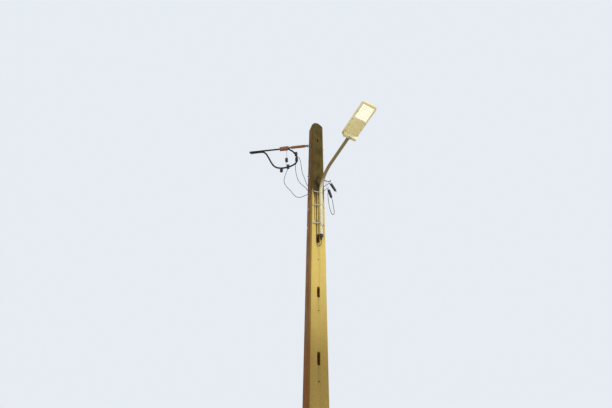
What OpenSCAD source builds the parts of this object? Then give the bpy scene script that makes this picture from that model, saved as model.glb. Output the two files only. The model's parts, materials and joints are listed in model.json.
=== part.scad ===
// Concrete utility pole with a curved lamp arm, a flat street lamp, an anchored service bundle and two drop clamps.
// Millimetres, +Z up, origin at the centre of the foot at ground level. The slotted front face looks along -Y.

/* [Pole] */
// Height of the pole above the ground
pole_h = 8750; // [7500:10:9500]
// Width of the front face at the ground
pole_w_foot = 324; // [300:1:360]
// Width of the front face at the head
pole_w_head = 240; // [220:1:280]
// Depth of the side face at the ground
pole_d_foot = 246; // [230:1:280]
// Depth of the side face at the head
pole_d_head = 226; // [200:1:240]
// Chamfer along the four long edges
pole_chamfer = 22; // [10:1:32]
// Height of the sloping head
head_rise = 150; // [60:5:180]
// How far the head slopes in on each side
head_inset = 60; // [30:1:80]

/* [Slots and holes] */
// Height of the middle of the lowest climbing slot
slot_first = 1600; // [1200:10:1700]
// Height from one slot to the next
slot_pitch = 1000; // [900:10:1010]
// Number of climbing slots
slot_count = 5; // [3:1:5]
// Length of a slot from end to end
slot_l = 190; // [120:1:240]
// Width of a slot
slot_w = 46; // [30:1:60]
// Diameter of the bolt holes through the front
hole_d = 22; // [16:1:28]
// Distance of a bolt hole below the middle of its slot
hole_drop = 300; // [240:5:400]
// Distance of the highest bolt hole below the middle of the top slot
top_hole_drop = 420; // [240:5:500]
// Height of the lower bolt hole in the head
head_hole_low = 7050; // [7030:5:7100]
// Height of the upper bolt hole in the head
head_hole_high = 7310; // [7200:5:7500]
// Height of the middle of the short slot in the head
head_slot_z = 8110; // [8080:5:8200]
// Length of the short slot in the head
head_slot_l = 120; // [80:1:150]

/* [Lamp arm] */
// Outside diameter of the arm tube
arm_d = 60; // [48:1:64]
// Wall of the arm tube
arm_wall = 3.5; // [3:0.1:5]
// Sideways place of the arm tube on the front face
arm_x = 45; // [40:1:60]
// Height of the arm's open lower end
arm_low = 5670; // [5640:5:5720]
// Height at which the arm starts to bend
arm_bend_z = 6627; // [6620:1:6700]
// Radius of the arm's bend at the middle of the tube
arm_bend_r = 450; // [380:1:520]
// How far the outer end of the arm rises above level, in degrees
arm_rise = 10; // [5:1:15]
// How far the arm swings from straight ahead towards +X, in degrees
arm_swing = 10; // [0:1:15]
// Straight length from the bend to the back of the lamp
arm_straight = 567; // [500:1:650]
// Length of tube inside the lamp
arm_insert = 92; // [80:1:95]

/* [Straps] */
// Heights of the three straps
strap_heights = [5905, 6308, 6612];
// Slope of the upper strap across the front, in degrees
strap_tilt = 19; // [0:1:25]
// Height of a strap band
strap_h = 20; // [16:1:30]
// Thickness of a strap band
strap_t = 1.5; // [1:0.1:2]
// Length of a strap buckle around the pole
buckle_l = 42; // [30:1:50]
// Thickness of a strap buckle
buckle_t = 7; // [5:0.5:10]

/* [Lamp] */
// Width of the lamp housing
lamp_w = 290; // [260:1:330]
// Length of the lamp from the back of its socket block to its tip
lamp_l = 730; // [700:1:800]
// Height of the housing at its middle
lamp_h = 70; // [60:1:90]
// Height of the housing's side walls
lamp_side_h = 46; // [40:1:56]
// Radius of the housing's plan corners
lamp_corner = 42; // [30:1:60]
// Distance of the socket block's back from the start of the lamp
block_back = 38; // [30:1:44]
// Distance of the socket block's upper front edge from the start of the lamp
block_l = 120; // [115:1:140]
// Length of the socket block's underside
block_foot = 52; // [45:1:60]
// Width of the socket block's upper front edge
block_w_top = 276; // [262:1:280]
// Width of the socket block
block_w = 250; // [220:1:258]
// Depth of the socket block below the arm's middle
block_under = 52; // [45:1:60]
// Height of the housing's underside above the arm's middle
lamp_floor = 15; // [10:1:18]
// Height of the top of the socket block above the arm's middle
block_over = 45; // [40:1:50]
// Length of the gear cover
gear_l = 272; // [240:1:280]
// Thickness of the gear cover
gear_t = 6; // [4:0.5:8]
// Length of the light window's frame
bezel_l = 320; // [290:1:330]
// Thickness of the light window's frame
bezel_t = 9; // [7:0.5:12]
// Width of the light window's frame
bezel_band = 20; // [14:1:26]
// Thickness of the glass
glass_t = 4; // [3:0.5:6]
// Depth of the light chamber above the frame
chamber_h = 26; // [20:1:30]
// Number of cooling fins
fin_count = 11; // [7:1:15]
// Height of the cooling fins above the housing's crown
fin_h = 16; // [8:1:24]
// Thickness of a cooling fin
fin_t = 4; // [3:0.5:6]
// Length of the cooling fins
fin_l = 300; // [200:5:330]

/* [Anchor hardware] */
// Height of the eye bolt
eye_z = 7985; // [7970:1:8000]
// Diameter of the through bolts
bolt_d = 16; // [14:1:20]
// Radius of the eye at the middle of its bar
eye_r = 27; // [25:1:32]
// Diameter of the eye's bar
eye_bar = 15; // [12:1:16]
// Side of the square washers
washer_w = 64; // [50:1:80]
// Thickness of the square washers
washer_t = 5; // [4:0.5:8]
// Thickness of the nuts
nut_t = 13; // [10:1:16]
// Size of the nuts across their corners
nut_d = 27; // [24:1:34]
// Length of thread past a nut
thread_past = 26; // [15:1:40]
// Angle of the bundle's run round the pole from +X, in degrees
span_turn = 154; // [150:1:160]
// Slope of the anchor hardware below level, in degrees
span_dip = 2; // [0:0.5:4]
// Diameter of the turnbuckle's body
buckle_body_d = 58; // [46:1:62]
// Length of the turnbuckle's body
buckle_body_l = 310; // [280:1:330]
// Diameter of the turnbuckle's end rods
end_rod_d = 22; // [16:1:24]
// Radius of the turnbuckle's end eyes at the middle of their bar
end_eye_r = 17; // [16:1:18]
// Diameter of the bar in the turnbuckle's end eyes
end_eye_bar = 11; // [10:1:12]
// Length of rod that shows between an end eye and the body
end_rod_show = 10; // [8:1:20]
// Length of the wedge clamp's body
clamp_l = 165; // [140:1:180]
// Height of the wedge clamp's body at its wide end
clamp_h = 78; // [74:1:84]
// Height of the wedge clamp's body at its outer end
clamp_h_out = 64; // [60:1:68]
// Width of the wedge clamp's body
clamp_w = 56; // [52:1:60]
// Thickness of the wedge clamp's walls
clamp_wall = 6; // [4:0.5:8]
// Length of the wedge clamp's bail from the end eye to its pegs
clamp_bail_l = 60; // [57:1:70]
// Diameter of the wedge clamp's bail
clamp_bail_d = 10; // [8:1:11]
// Distance of the bundle below the line of pull
bundle_drop = 12; // [10:1:14]
// Length from the eye to the bundle's capped end
bundle_run_l = 1215; // [1200:5:1250]
// Height of a tap connector
tap_h = 84; // [70:1:90]
// Width of a tap connector
tap_w = 52; // [44:1:58]
// Depth of a tap connector
tap_t = 46; // [40:1:50]

/* [Drop clamps] */
// Height of the drop hook's bolt
hook_z = 7110; // [7105:1:7115]
// How far the drop hook's straight part reaches from the middle of the pole
hook_reach = 280; // [278:1:290]
// Radius of the drop hook's upward bend at the middle of its bar
hook_bend = 24; // [20:1:30]
// Height of the drop hook's tip above its bend
hook_tip = 26; // [15:1:40]
// Length of a drop clamp's body
drop_l = 172; // [150:1:180]
// Height of a drop clamp's body at its inner end
drop_h = 46; // [42:1:52]
// Height of a drop clamp's body at its outer end
drop_h_out = 32; // [30:1:36]
// Width of a drop clamp's body
drop_w = 34; // [30:1:40]
// Thickness of a drop clamp's walls
drop_wall = 5; // [4:0.5:6]
// Diameter of a drop clamp's wire bail
bail_d = 5; // [4:0.5:6]
// Turn of the drop clamps from +X towards the back, in degrees
drop_turn = 12; // [5:1:20]
// Length of the outer drop clamp's bail
outer_bail_l = 62; // [58:1:70]
// Slope of the outer drop clamp below level, in degrees
outer_dip = 52; // [48:1:56]
// Distance of the outer drop clamp's bail from the middle of the pole
outer_at = 278; // [274:1:280]
// Length of the inner drop clamp's bail
inner_bail_l = 235; // [225:1:240]
// Slope of the inner drop clamp below level, in degrees
inner_dip = 70; // [68:1:74]
// Distance of the inner drop clamp's bail from the middle of the pole
inner_at = 190; // [185:1:198]

/* [Cords] */
// Diameter of the twisted bundle
bundle_d = 32; // [28:1:34]
// Diameter of the service leads
lead_d = 10; // [9:0.5:11]

/* [Hidden] */
// Clearance between a piece and its seat
gap = 0.3;
// Sides of a cord's tube
cord_sides = 10;
$fn = 48;

function pole_w(z) = pole_w_foot + (pole_w_head - pole_w_foot) * z / pole_h;
function pole_d(z) = pole_d_foot + (pole_d_head - pole_d_foot) * z / pole_h;

arm_r = arm_d / 2;
arm_y = -pole_d(arm_low) / 2 - gap - arm_r;
bend_turn = 90 - arm_rise;
bend_end = [0, -arm_bend_r * (1 - cos(bend_turn)), arm_bend_z + arm_bend_r * sin(bend_turn)];
lamp_back = bend_end + arm_straight * [0, -sin(bend_turn), cos(bend_turn)];
slot_heights = [for (i = [0 : slot_count - 1]) slot_first + i * slot_pitch];
slot_hole_heights = [for (i = [0 : slot_count - 1]) slot_heights[i] - (i < slot_count - 1 ? hole_drop : top_hole_drop)];
hole_heights = concat(slot_hole_heights, [head_hole_low, head_hole_high]);

// One unit vector along v
function unit(v) = v / norm(v);

// Direction of a route at its point i
function heading(p, i) =
    i == 0 ? unit(p[1] - p[0])
    : i == len(p) - 1 ? unit(p[i] - p[i - 1])
    : unit(unit(p[i + 1] - p[i]) + unit(p[i] - p[i - 1]));

// A vector square to t that turns as little as it can from u
function carried(u, t) = unit(u - (u * t) * t);

// One ring of points round a route's point
function ring_at(c, t, u, r, n) = [for (k = [0 : n - 1]) c + r * (cos(360 * k / n) * u + sin(360 * k / n) * cross(t, u))];

// The rings of a tube along a route
function tube_rings(p, r, n) =
    let (first = abs(heading(p, 0)[2]) > 0.9 ? [1, 0, 0] : [0, 0, 1])
    [for (i = 0, u = carried(first, heading(p, 0)); i < len(p);
          i = i + 1, u = i < len(p) ? carried(u, heading(p, i)) : u)
        ring_at(p[i], heading(p, i), u, r, n)];

// A closed skin over rings of equal point counts, each ring anticlockwise about the way it goes
module skin(rings) {
    n = len(rings[0]);
    m = len(rings);
    polyhedron(
        points = [for (ring = rings) each ring],
        faces = concat(
            [[for (i = [0 : n - 1]) i]],
            [for (k = [0 : m - 2], i = [0 : n - 1])
                [k * n + i, (k + 1) * n + i, (k + 1) * n + (i + 1) % n, k * n + (i + 1) % n]],
            [[for (i = [n - 1 : -1 : 0]) (m - 1) * n + i]]
        )
    );
}

module cord(route, d) {
    skin(tube_rings(route, d / 2, cord_sides));
}

// A rectangle with chamfered corners as one ring at height z
function chamfered(w, d, c, z) = [
    [-w / 2 + c, -d / 2, z], [w / 2 - c, -d / 2, z], [w / 2, -d / 2 + c, z], [w / 2, d / 2 - c, z],
    [w / 2 - c, d / 2, z], [-w / 2 + c, d / 2, z], [-w / 2, d / 2 - c, z], [-w / 2, -d / 2 + c, z]
];

// The bar of the eye that the turnbuckle pulls on
function pull_from() = [-pole_w(eye_z) / 2 - gap - washer_t - 2 * eye_r - eye_bar / 2, 0, eye_z];

// A point of the upright plane that the bundle runs in: out from the eye, at height z, side mm to its front
function span_point(out, z, side) = [
    pull_from()[0] + out * cos(span_turn) - side * sin(span_turn),
    out * sin(span_turn) + side * cos(span_turn),
    z
];

// A route's points given in that plane
function span_route(points) = [for (p = points) span_point(p[0], p[1], p[2])];

// A point on the line of the anchor hardware, x from the eye and drop below the line
function pull_point(x, drop) = [
    pull_from()[0] + (x * cos(span_dip) - drop * sin(span_dip)) * cos(span_turn),
    (x * cos(span_dip) - drop * sin(span_dip)) * sin(span_turn),
    eye_z - x * sin(span_dip) - drop * cos(span_dip)
];

// The place of a drop clamp's bail over the hook, at mm from the middle of the pole
function bail_top(at) = [at, 0, hook_z + bolt_d / 2 + gap + bail_d / 2];

// A point on the line of a drop clamp, s from its bail's top
function drop_point(at, dip, s) = bail_top(at)
    + s * [cos(dip) * cos(drop_turn), cos(dip) * sin(drop_turn), -sin(dip)];

// A closed ring of round bar about Z
module bar_ring(r, d) {
    rotate_extrude() translate([r, 0]) circle(d = d);
}

module square_washer(hole) {
    difference() {
        translate([0, -washer_w / 2, -washer_w / 2]) cube([washer_t, washer_w, washer_w]);
        rotate([0, 90, 0]) cylinder(d = hole, h = 4 * washer_t, center = true);
    }
}

module hex_nut(hole) {
    rotate([0, 90, 0]) difference() {
        cylinder(d = nut_d, h = nut_t, $fn = 6);
        translate([0, 0, -1]) cylinder(d = hole, h = nut_t + 2);
    }
}

// Pole

module slot_cutter(l, w, depth) {
    rotate([90, 0, 0]) linear_extrude(depth, center = true) {
        square([w, l - w], center = true);
        for (s = [-1, 1]) translate([0, s * (l - w) / 2]) circle(d = w);
    }
}

module pole_shaft() {
    shoulder = pole_h - head_rise;
    cut = 2 * pole_d_foot;
    color("tan") difference() {
        skin([
            chamfered(pole_w_foot, pole_d_foot, pole_chamfer, 0),
            chamfered(pole_w(shoulder), pole_d(shoulder), pole_chamfer, shoulder),
            chamfered(pole_w(pole_h) - 2 * head_inset, pole_d(pole_h) - 2 * head_inset, pole_chamfer, pole_h)
        ]);
        for (z = slot_heights) translate([0, 0, z]) slot_cutter(slot_l, slot_w, cut);
        translate([0, 0, head_slot_z]) slot_cutter(head_slot_l, slot_w / 2, cut);
        for (z = hole_heights) translate([0, 0, z]) rotate([90, 0, 0]) cylinder(d = hole_d, h = cut, center = true);
        for (z = [eye_z, hook_z]) translate([0, 0, z]) rotate([0, 90, 0])
            cylinder(d = bolt_d + 2 * gap, h = 2 * pole_w_foot, center = true);
    }
}

// Lamp arm

module at_arm() {
    translate([arm_x, arm_y, 0]) rotate([0, 0, arm_swing]) children();
}

module straight_tube(l) {
    difference() {
        cylinder(d = arm_d, h = l);
        translate([0, 0, -1]) cylinder(d = arm_d - 2 * arm_wall, h = l + 2);
    }
}

module bent_tube() {
    difference() {
        rotate_extrude(angle = bend_turn) translate([arm_bend_r, 0]) circle(d = arm_d);
        rotate([0, 0, -1]) rotate_extrude(angle = bend_turn + 2)
            translate([arm_bend_r, 0]) circle(d = arm_d - 2 * arm_wall);
    }
}

module lamp_arm() {
    color("gainsboro") at_arm() {
        translate([0, 0, arm_low]) straight_tube(arm_bend_z - arm_low);
        translate([0, -arm_bend_r, arm_bend_z]) rotate([90, 0, 90]) bent_tube();
        translate(bend_end) rotate([bend_turn, 0, 0]) straight_tube(arm_straight + arm_insert);
    }
}

// Straps

// Outline of the pole and the arm tube pulled together by a band, grown by g
function strap_outline(z, g) =
    let (
        w = pole_w(z) / 2 + g,
        d = pole_d(z) / 2 + g,
        c = pole_chamfer + g * (sqrt(2) - 1) * sqrt(2) / 2,
        r = arm_r + g,
        at = [arm_x, arm_y],
        left = touch_angle([-w + c, -d] - at, r, -1),
        right = touch_angle([w - c, -d] - at, r, 1)
    )
    concat(
        [[w - c, -d], [w, -d + c], [w, d - c], [w - c, d], [-w + c, d], [-w, d - c], [-w, -d + c], [-w + c, -d]],
        [for (k = [0 : 12]) at + r * [cos(left + (right - left) * k / 12), sin(left + (right - left) * k / 12)]]
    );

// Angle on a circle of radius r at which a line from the point p touches it, on side s
function touch_angle(p, r, s) =
    let (base = atan2(p[1], p[0]), open = acos(r / norm(p)))
    s < 0 ? 360 + base + open - (base > 0 ? 360 : 0) : 360 + base - open;

// Slopes its children down towards +X by the given angle, walls kept upright
module sloped(angle) {
    multmatrix([[1, 0, 0, 0], [0, 1, 0, 0], [-tan(angle), 0, 1, 0], [0, 0, 0, 1]]) children();
}

module strap(z, angle) {
    color("silver") translate([0, 0, z]) sloped(angle) translate([0, 0, -strap_h / 2])
        linear_extrude(strap_h) difference() {
            polygon(strap_outline(z, gap + strap_t));
            polygon(strap_outline(z, gap));
        }
}

module buckle(z, angle) {
    out = pole_w(z) / 2 + 2 * gap + strap_t;
    color("silver") translate([out, -buckle_l / 2, z - strap_h / 2 - 3 - tan(angle) * out]) difference() {
        cube([buckle_t, buckle_l, strap_h + 6]);
        translate([buckle_t - 2, 8, 3]) cube([3, buckle_l - 16, strap_h]);
    }
}

module strap_lower() { strap(strap_heights[0], 0); }
module strap_middle() { strap(strap_heights[1], 0); }
module strap_upper() { strap(strap_heights[2], strap_tilt); }

module strap_buckles() {
    for (z = [strap_heights[0], strap_heights[1]]) buckle(z, 0);
    buckle(strap_heights[2], strap_tilt);
}

// Lamp, with its back at the origin, looking along -Y

module at_lamp() {
    at_arm() translate(lamp_back) rotate([-arm_rise, 0, 0]) children();
}

module plan(l, w, corner) {
    translate([-w / 2 + corner, -l]) square([w - 2 * corner, l]);
    translate([-w / 2, -l + corner]) square([w, l - corner]);
    for (s = [-1, 1]) translate([s * (w / 2 - corner), -l + corner]) circle(r = corner);
}

crown_rise = lamp_h - lamp_side_h;
crown_r = (lamp_w * lamp_w / 4 + crown_rise * crown_rise) / (2 * crown_rise);

module block_plan(l) {
    polygon([
        [-block_w / 2, -block_back], [-block_w_top / 2, -l], [block_w_top / 2, -l], [block_w / 2, -block_back]
    ]);
}

module lamp_housing() {
    body_back = block_back + 8;
    chamber_back = block_l + gear_l + bezel_band;
    color("lightgray") at_lamp() difference() {
        translate([0, -body_back, lamp_floor]) intersection() {
            linear_extrude(lamp_h) plan(lamp_l - body_back, lamp_w, lamp_corner);
            translate([0, 1, lamp_h - crown_r]) rotate([90, 0, 0]) cylinder(r = crown_r, h = lamp_l + 2, $fn = 180);
        }
        translate([-block_w_top / 2 - gap, -block_l - gap, lamp_floor - 1])
            cube([block_w_top + 2 * gap, block_l + 2 * gap, block_over - lamp_floor + 1 + gap]);
        translate([-lamp_w / 2 + bezel_band, -lamp_l + bezel_band, lamp_floor - 1])
            cube([lamp_w - 2 * bezel_band, lamp_l - bezel_band - chamber_back, chamber_h + 1]);
    }
}

module socket_block() {
    color("gray") at_lamp() difference() {
        translate([0, 0, -block_under]) linear_extrude(block_under + block_over) block_plan(block_l);
        translate([0, -block_l, 0]) rotate([0, 90, 0]) linear_extrude(2 * lamp_w, center = true)
            polygon([
                [-lamp_floor, -1], [block_under, block_l - block_back - block_foot],
                [block_under + 1, block_l - block_back - block_foot], [block_under + 1, -1]
            ]);
        translate([0, 1, 0]) rotate([90, 0, 0]) cylinder(d = arm_d + 2 * gap, h = arm_insert + gap + 1);
    }
}

module gear_cover() {
    color("lightgray") at_lamp() translate([-lamp_w / 2 + 6, -block_l - gear_l, lamp_floor - gear_t - gap])
        cube([lamp_w - 12, gear_l - 2, gear_t]);
}

module window_frame() {
    color("silver") at_lamp() translate([0, -block_l - gear_l - 2, lamp_floor - bezel_t - gap]) difference() {
        linear_extrude(bezel_t) plan(bezel_l, lamp_w - 8, lamp_corner - 6);
        translate([-lamp_w / 2 + bezel_band + 4, -bezel_l + bezel_band, -1])
            cube([lamp_w - 2 * bezel_band - 8, bezel_l - 2 * bezel_band, bezel_t + 2]);
    }
}

module window_glass() {
    color("white") at_lamp() translate([-lamp_w / 2 + bezel_band + 4 + gap, -block_l - gear_l - 2 - bezel_l + bezel_band + gap,
        lamp_floor - bezel_t + 2])
        cube([lamp_w - 2 * bezel_band - 8 - 2 * gap, bezel_l - 2 * bezel_band - 2 * gap, glass_t]);
}

module light_board() {
    color("white") at_lamp() translate([-lamp_w / 2 + bezel_band + 6, -lamp_l + bezel_band + 6,
        lamp_floor + chamber_h - 6 - gap])
        cube([lamp_w - 2 * bezel_band - 12, lamp_l - 2 * bezel_band - 12 - block_l - gear_l, 6]);
}

module cooling_fins() {
    spread = lamp_w - 90;
    color("gray") at_lamp() for (i = [0 : fin_count - 1]) {
        x = -spread / 2 + spread * i / (fin_count - 1);
        seat = lamp_floor + lamp_h - crown_r + sqrt(crown_r * crown_r - (abs(x) + fin_t / 2) * (abs(x) + fin_t / 2));
        translate([x - fin_t / 2, -lamp_l + 60, seat + gap]) cube([fin_t, fin_l, lamp_floor + lamp_h + fin_h - seat]);
    }
}

module socket_screws() {
    color("dimgray") at_lamp() for (s = [-1, 1], y = [12, 38])
        translate([s * 16, -block_back - y, -block_under - gap - 8]) cylinder(d = 16, h = 8, $fn = 6);
}

// Anchor hardware on the left face

eye_centre_x = -pole_w(eye_z) / 2 - gap - washer_t - eye_r - eye_bar / 2;

module eye_bolt() {
    shank = pole_w(eye_z) / 2 + gap + washer_t + nut_t + thread_past;
    color("gray") translate([0, 0, eye_z]) {
        translate([eye_centre_x, 0, 0]) rotate([90, 0, 0]) bar_ring(eye_r, eye_bar);
        translate([eye_centre_x + eye_r, 0, 0]) rotate([0, 90, 0]) cylinder(d = bolt_d, h = shank - eye_centre_x - eye_r);
    }
}

module bolt_washers() {
    color("gray") for (z = [eye_z, hook_z], s = [0, 1]) translate([0, 0, z]) mirror([s, 0, 0])
        translate([pole_w(z) / 2 + gap, 0, 0]) square_washer(bolt_d + 2 * gap);
}

module bolt_nuts() {
    color("gray") for (z = [eye_z, hook_z]) translate([0, 0, z]) mirror([z == hook_z ? 1 : 0, 0, 0])
        translate([pole_w(z) / 2 + 2 * gap + washer_t, 0, 0]) hex_nut(bolt_d + 2 * gap);
}

// The line of the anchor hardware: +X runs out along the bundle from the eye's outer bar
module at_span() {
    translate(pull_from()) rotate([0, 0, span_turn]) rotate([0, span_dip, 0]) children();
}

inner_ring_at = end_eye_r - end_eye_bar / 2 - eye_bar / 2 - gap;
body_from = inner_ring_at + end_eye_r + end_rod_show;
body_to = body_from + buckle_body_l;
outer_ring_at = body_to + end_rod_show + end_eye_r;
rod_in_body = 70;

module end_eye() {
    bar_ring(end_eye_r, end_eye_bar);
    translate([end_eye_r, 0, 0]) rotate([0, 90, 0]) cylinder(d = end_rod_d, h = end_rod_show + rod_in_body);
}

module turnbuckle_inner_eye() {
    color("gray") at_span() translate([inner_ring_at, 0, 0]) end_eye();
}

module turnbuckle_body() {
    color("chocolate") at_span() translate([body_from, 0, 0]) rotate([0, 90, 0]) difference() {
        cylinder(d = buckle_body_d, h = buckle_body_l);
        translate([0, 0, -1]) cylinder(d = end_rod_d + 2 * gap, h = buckle_body_l + 2);
    }
}

module turnbuckle_outer_eye() {
    color("gray") at_span() translate([outer_ring_at, 0, 0]) rotate([90, 0, 0]) mirror([1, 0, 0]) end_eye();
}

clamp_from = outer_ring_at + end_eye_r - end_eye_bar / 2 - clamp_bail_d / 2 - gap + clamp_bail_l - 25;

// A tapering clamp housing, open at both ends, with holes for its bail's pegs at peg_z
module clamp_shell(l, h_in, h_out, w, wall, peg_x, peg_z, peg_d) {
    difference() {
        rotate([90, 0, 0]) linear_extrude(w, center = true)
            polygon([[0, -h_in / 2], [l, -h_out / 2], [l, h_out / 2], [0, h_in / 2]]);
        rotate([90, 0, 0]) linear_extrude(w - 2 * wall, center = true)
            polygon([[0, -h_in / 2 + wall], [l, -h_out / 2 + wall], [l, h_out / 2 - wall], [0, h_in / 2 - wall]]);
        for (x = [-1, l - 1]) translate([x, -w / 2 + wall, -h_out / 2 + wall])
            cube([2, w - 2 * wall, h_out - 2 * wall]);
        translate([peg_x, 0, peg_z]) rotate([90, 0, 0]) cylinder(d = peg_d + 2 * gap, h = 2 * w, center = true);
    }
}

// The two wedges that grip a cable of diameter d in such a housing
module wedge_pair(l, h_in, h_out, w, wall, d) {
    from = 10;
    to = l - 8;
    high = function (x) (h_in + (h_out - h_in) * x / l) / 2 - wall - gap;
    difference() {
        for (s = [-1, 1]) rotate([90, 0, 0]) linear_extrude(w - 2 * wall - 2 * gap, center = true)
            polygon([[from, s], [to, s], [to, s * high(to)], [from, s * high(from)]]);
        rotate([0, 90, 0]) cylinder(d = d + 2 * gap, h = 3 * l, center = true);
    }
}

// A bail whose middle lies across the origin, with legs of length l along +X to pegs in a housing of width w
module bail(l, w, d) {
    r = 1.6 * d;
    leg_y = w / 2 + gap + d / 2;
    for (s = [-1, 1]) mirror([0, s < 0 ? 1 : 0, 0]) {
        translate([0, -0.1, 0]) rotate([-90, 0, 0]) cylinder(d = d, h = leg_y - r + 0.1);
        translate([r, leg_y - r, 0]) rotate([0, 0, 90]) rotate_extrude(angle = 90) translate([r, 0]) circle(d = d);
        translate([r, leg_y, 0]) rotate([0, 90, 0]) cylinder(d = d, h = l - r);
        translate([l, leg_y, 0]) sphere(d = d);
        translate([l, leg_y, 0]) rotate([90, 0, 0]) cylinder(d = d, h = d / 2 + gap + 4);
    }
}

module clamp_body() {
    color("chocolate") at_span() translate([clamp_from, 0, -bundle_drop])
        clamp_shell(clamp_l, clamp_h, clamp_h_out, clamp_w, clamp_wall, 25, bundle_drop, clamp_bail_d);
}

module clamp_wedges() {
    color("dimgray") at_span() translate([clamp_from, 0, -bundle_drop])
        wedge_pair(clamp_l, clamp_h, clamp_h_out, clamp_w, clamp_wall, bundle_d);
}

module clamp_bail() {
    color("gray") at_span()
        translate([outer_ring_at + end_eye_r - end_eye_bar / 2 - clamp_bail_d / 2 - gap, 0, 0])
        bail(clamp_bail_l, clamp_w, clamp_bail_d);
}

// Bundle: its run through the clamp, and the loop of spare length that hangs below it

loop_drop = bundle_drop + bundle_d + 4;
loop_start = clamp_from + 2;
loop_end = bundle_run_l - 20;
tie_places = [945, bundle_run_l - 75];
cap_l = 36;
cap_t = 2;

loop_points = [
    [400, 7949, 0], [386, 7931, 0], [356, 7905, 0], [308, 7862, 0], [264, 7800, 0], [226, 7728, 0], [201, 7650, 0], [198, 7574, 0],
    [218, 7502, 0], [266, 7450, 0], [332, 7414, 0], [405, 7391, 0], [480, 7382, 0], [552, 7390, 0], [618, 7420, 0],
    [672, 7475, 0], [718, 7555, 0], [762, 7650, 0], [806, 7750, 0], [852, 7840, 0], [902, 7893, 0]
];
loop_route = concat(
    [pull_point(loop_start, bundle_drop)],
    span_route(loop_points),
    [pull_point(tie_places[0], loop_drop), pull_point(loop_end, loop_drop)]
);

module bundle_run() {
    color("black") cord([pull_point(loop_start, bundle_drop), pull_point(bundle_run_l, bundle_drop)], bundle_d);
}

module bundle_loop() {
    color("black") cord(loop_route, bundle_d);
}

module bundle_caps() {
    color("dimgray") at_span() for (end = [[bundle_run_l, bundle_drop], [loop_end, loop_drop]])
        translate([end[0] - cap_l + cap_t + gap, 0, -end[1]]) rotate([0, 90, 0]) difference() {
            cylinder(d = bundle_d + 2 * gap + 2 * cap_t, h = cap_l);
            translate([0, 0, -1]) cylinder(d = bundle_d + 2 * gap, h = cap_l - cap_t + 1);
        }
}

module racetrack(d, apart) {
    circle(d = d);
    translate([0, -apart]) circle(d = d);
    translate([-d / 2, -apart]) square([d, apart]);
}

module bundle_ties() {
    apart = loop_drop - bundle_drop;
    color("black") at_span() for (x = tie_places) translate([x, 0, -bundle_drop]) {
        rotate([90, 0, 90]) linear_extrude(9) difference() {
            racetrack(bundle_d + 2 * gap + 4, apart);
            racetrack(bundle_d + 2 * gap, apart);
        }
        translate([-1, bundle_d / 2 + gap + 1, -apart / 2 - 6]) cube([11, 9, 12]);
    }
}

// Tap connectors beside the loop, each with a driving bolt

tap_side = bundle_d / 2 + gap + tap_t / 2;
tap_inner_at = [218, 7716];
tap_outer_at = [202, 7556];
tap_lead_at = [366, 7366];
tap_low_at = [502, 7382.9 - bundle_d / 2 - gap - tap_h / 2];
tap_earth_at = [413, 7606];

module at_plane(at, side) {
    translate(span_point(at[0], at[1], side)) rotate([0, 0, span_turn]) children();
}

module tap_connector() {
    difference() {
        translate([-tap_w / 2, -tap_t / 2, -tap_h / 2]) cube([tap_w, tap_t, tap_h]);
        for (s = [-1, 1]) translate([s * (tap_w / 2 + 3), 0, 0]) cylinder(d = 18, h = 2 * tap_h, center = true);
    }
    translate([0, tap_t / 2, 0]) rotate([-90, 0, 0]) cylinder(d = 24, h = 6);
    translate([0, tap_t / 2 + 6, 0]) rotate([-90, 0, 0]) cylinder(d = 15, h = 12, $fn = 6);
}

module tap_inner() {
    color("black") at_plane(tap_inner_at, tap_side) tap_connector();
}

module tap_outer() {
    color("black") at_plane(tap_outer_at, tap_side) tap_connector();
}

module tap_lead() {
    color("black") at_plane(tap_lead_at, tap_side) tap_connector();
}

module tap_low() {
    color("black") at_plane(tap_low_at, 0) tap_connector();
}

module tap_earth() {
    color("saddlebrown") at_plane(tap_earth_at, 0) tap_connector();
}

// Leads from the connectors

earth_at = 20;
earth_start = pull_point(clamp_from + earth_at,
    bundle_drop + clamp_h / 2 - (clamp_h - clamp_h_out) / 2 * earth_at / clamp_l + gap);
earth_points = [[424, 7850, 0], [416, 7750, 0], [413, 7670, 0]];
earth_low_points = [[413, 7530, 0], [418, 7460, 0]];

module earth_wire() {
    color("black") {
        cord(concat([earth_start], span_route(earth_points), [span_point(413, tap_earth_at[1] + tap_h / 2, 0)]), 6);
        cord(concat([span_point(413, tap_earth_at[1] - tap_h / 2, 0)], span_route(earth_low_points)), 6);
    }
}

lamp_lead_points = [
    [378, 7280, 34], [412, 7150, 28], [430, 7040, 22], [420, 6950, 18], [370, 6845, 13], [307, 6762, 8],
    [245, 6665, 3], [198, 6605, -1], [149, 6577, -6], [95, 6586, -14], [50, 6616, -25]
];
lamp_lead_back = [
    [-170, 72, 6680], [-140, 99, 6722], [-113, 121, 6766], [-86, 131, 6812], [-66, 134, 6848], [-24, 134, 6935],
    [-6, 139, 6990], [0, 145, 7024], [0, 138, 7045]
];
lamp_lead_front = [
    [0, -138, 7045], [-3, -144, 7022], [-16, -132, 6955], [-28, -123, 6890], [-31, -122, 6840],
    [-31, -122.5, 5620], [-30, -125, 5540], [-20, -133, 5472], [0, -141, 5440], [24, -146, 5442],
    [40, arm_y, 5476]
];
lamp_lead_route = concat(
    [span_point(tap_lead_at[0], tap_lead_at[1] - tap_h / 2, tap_side)],
    span_route(lamp_lead_points),
    lamp_lead_back,
    [[0, pole_d(head_hole_low) / 2 + 5, head_hole_low], [0, -pole_d(head_hole_low) / 2 - 5, head_hole_low]],
    lamp_lead_front,
    [[arm_x, arm_y, arm_low - 145], [arm_x, arm_y, arm_low + 40]]
);

module lamp_lead() {
    color("black") cord(lamp_lead_route, lead_d);
}

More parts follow.
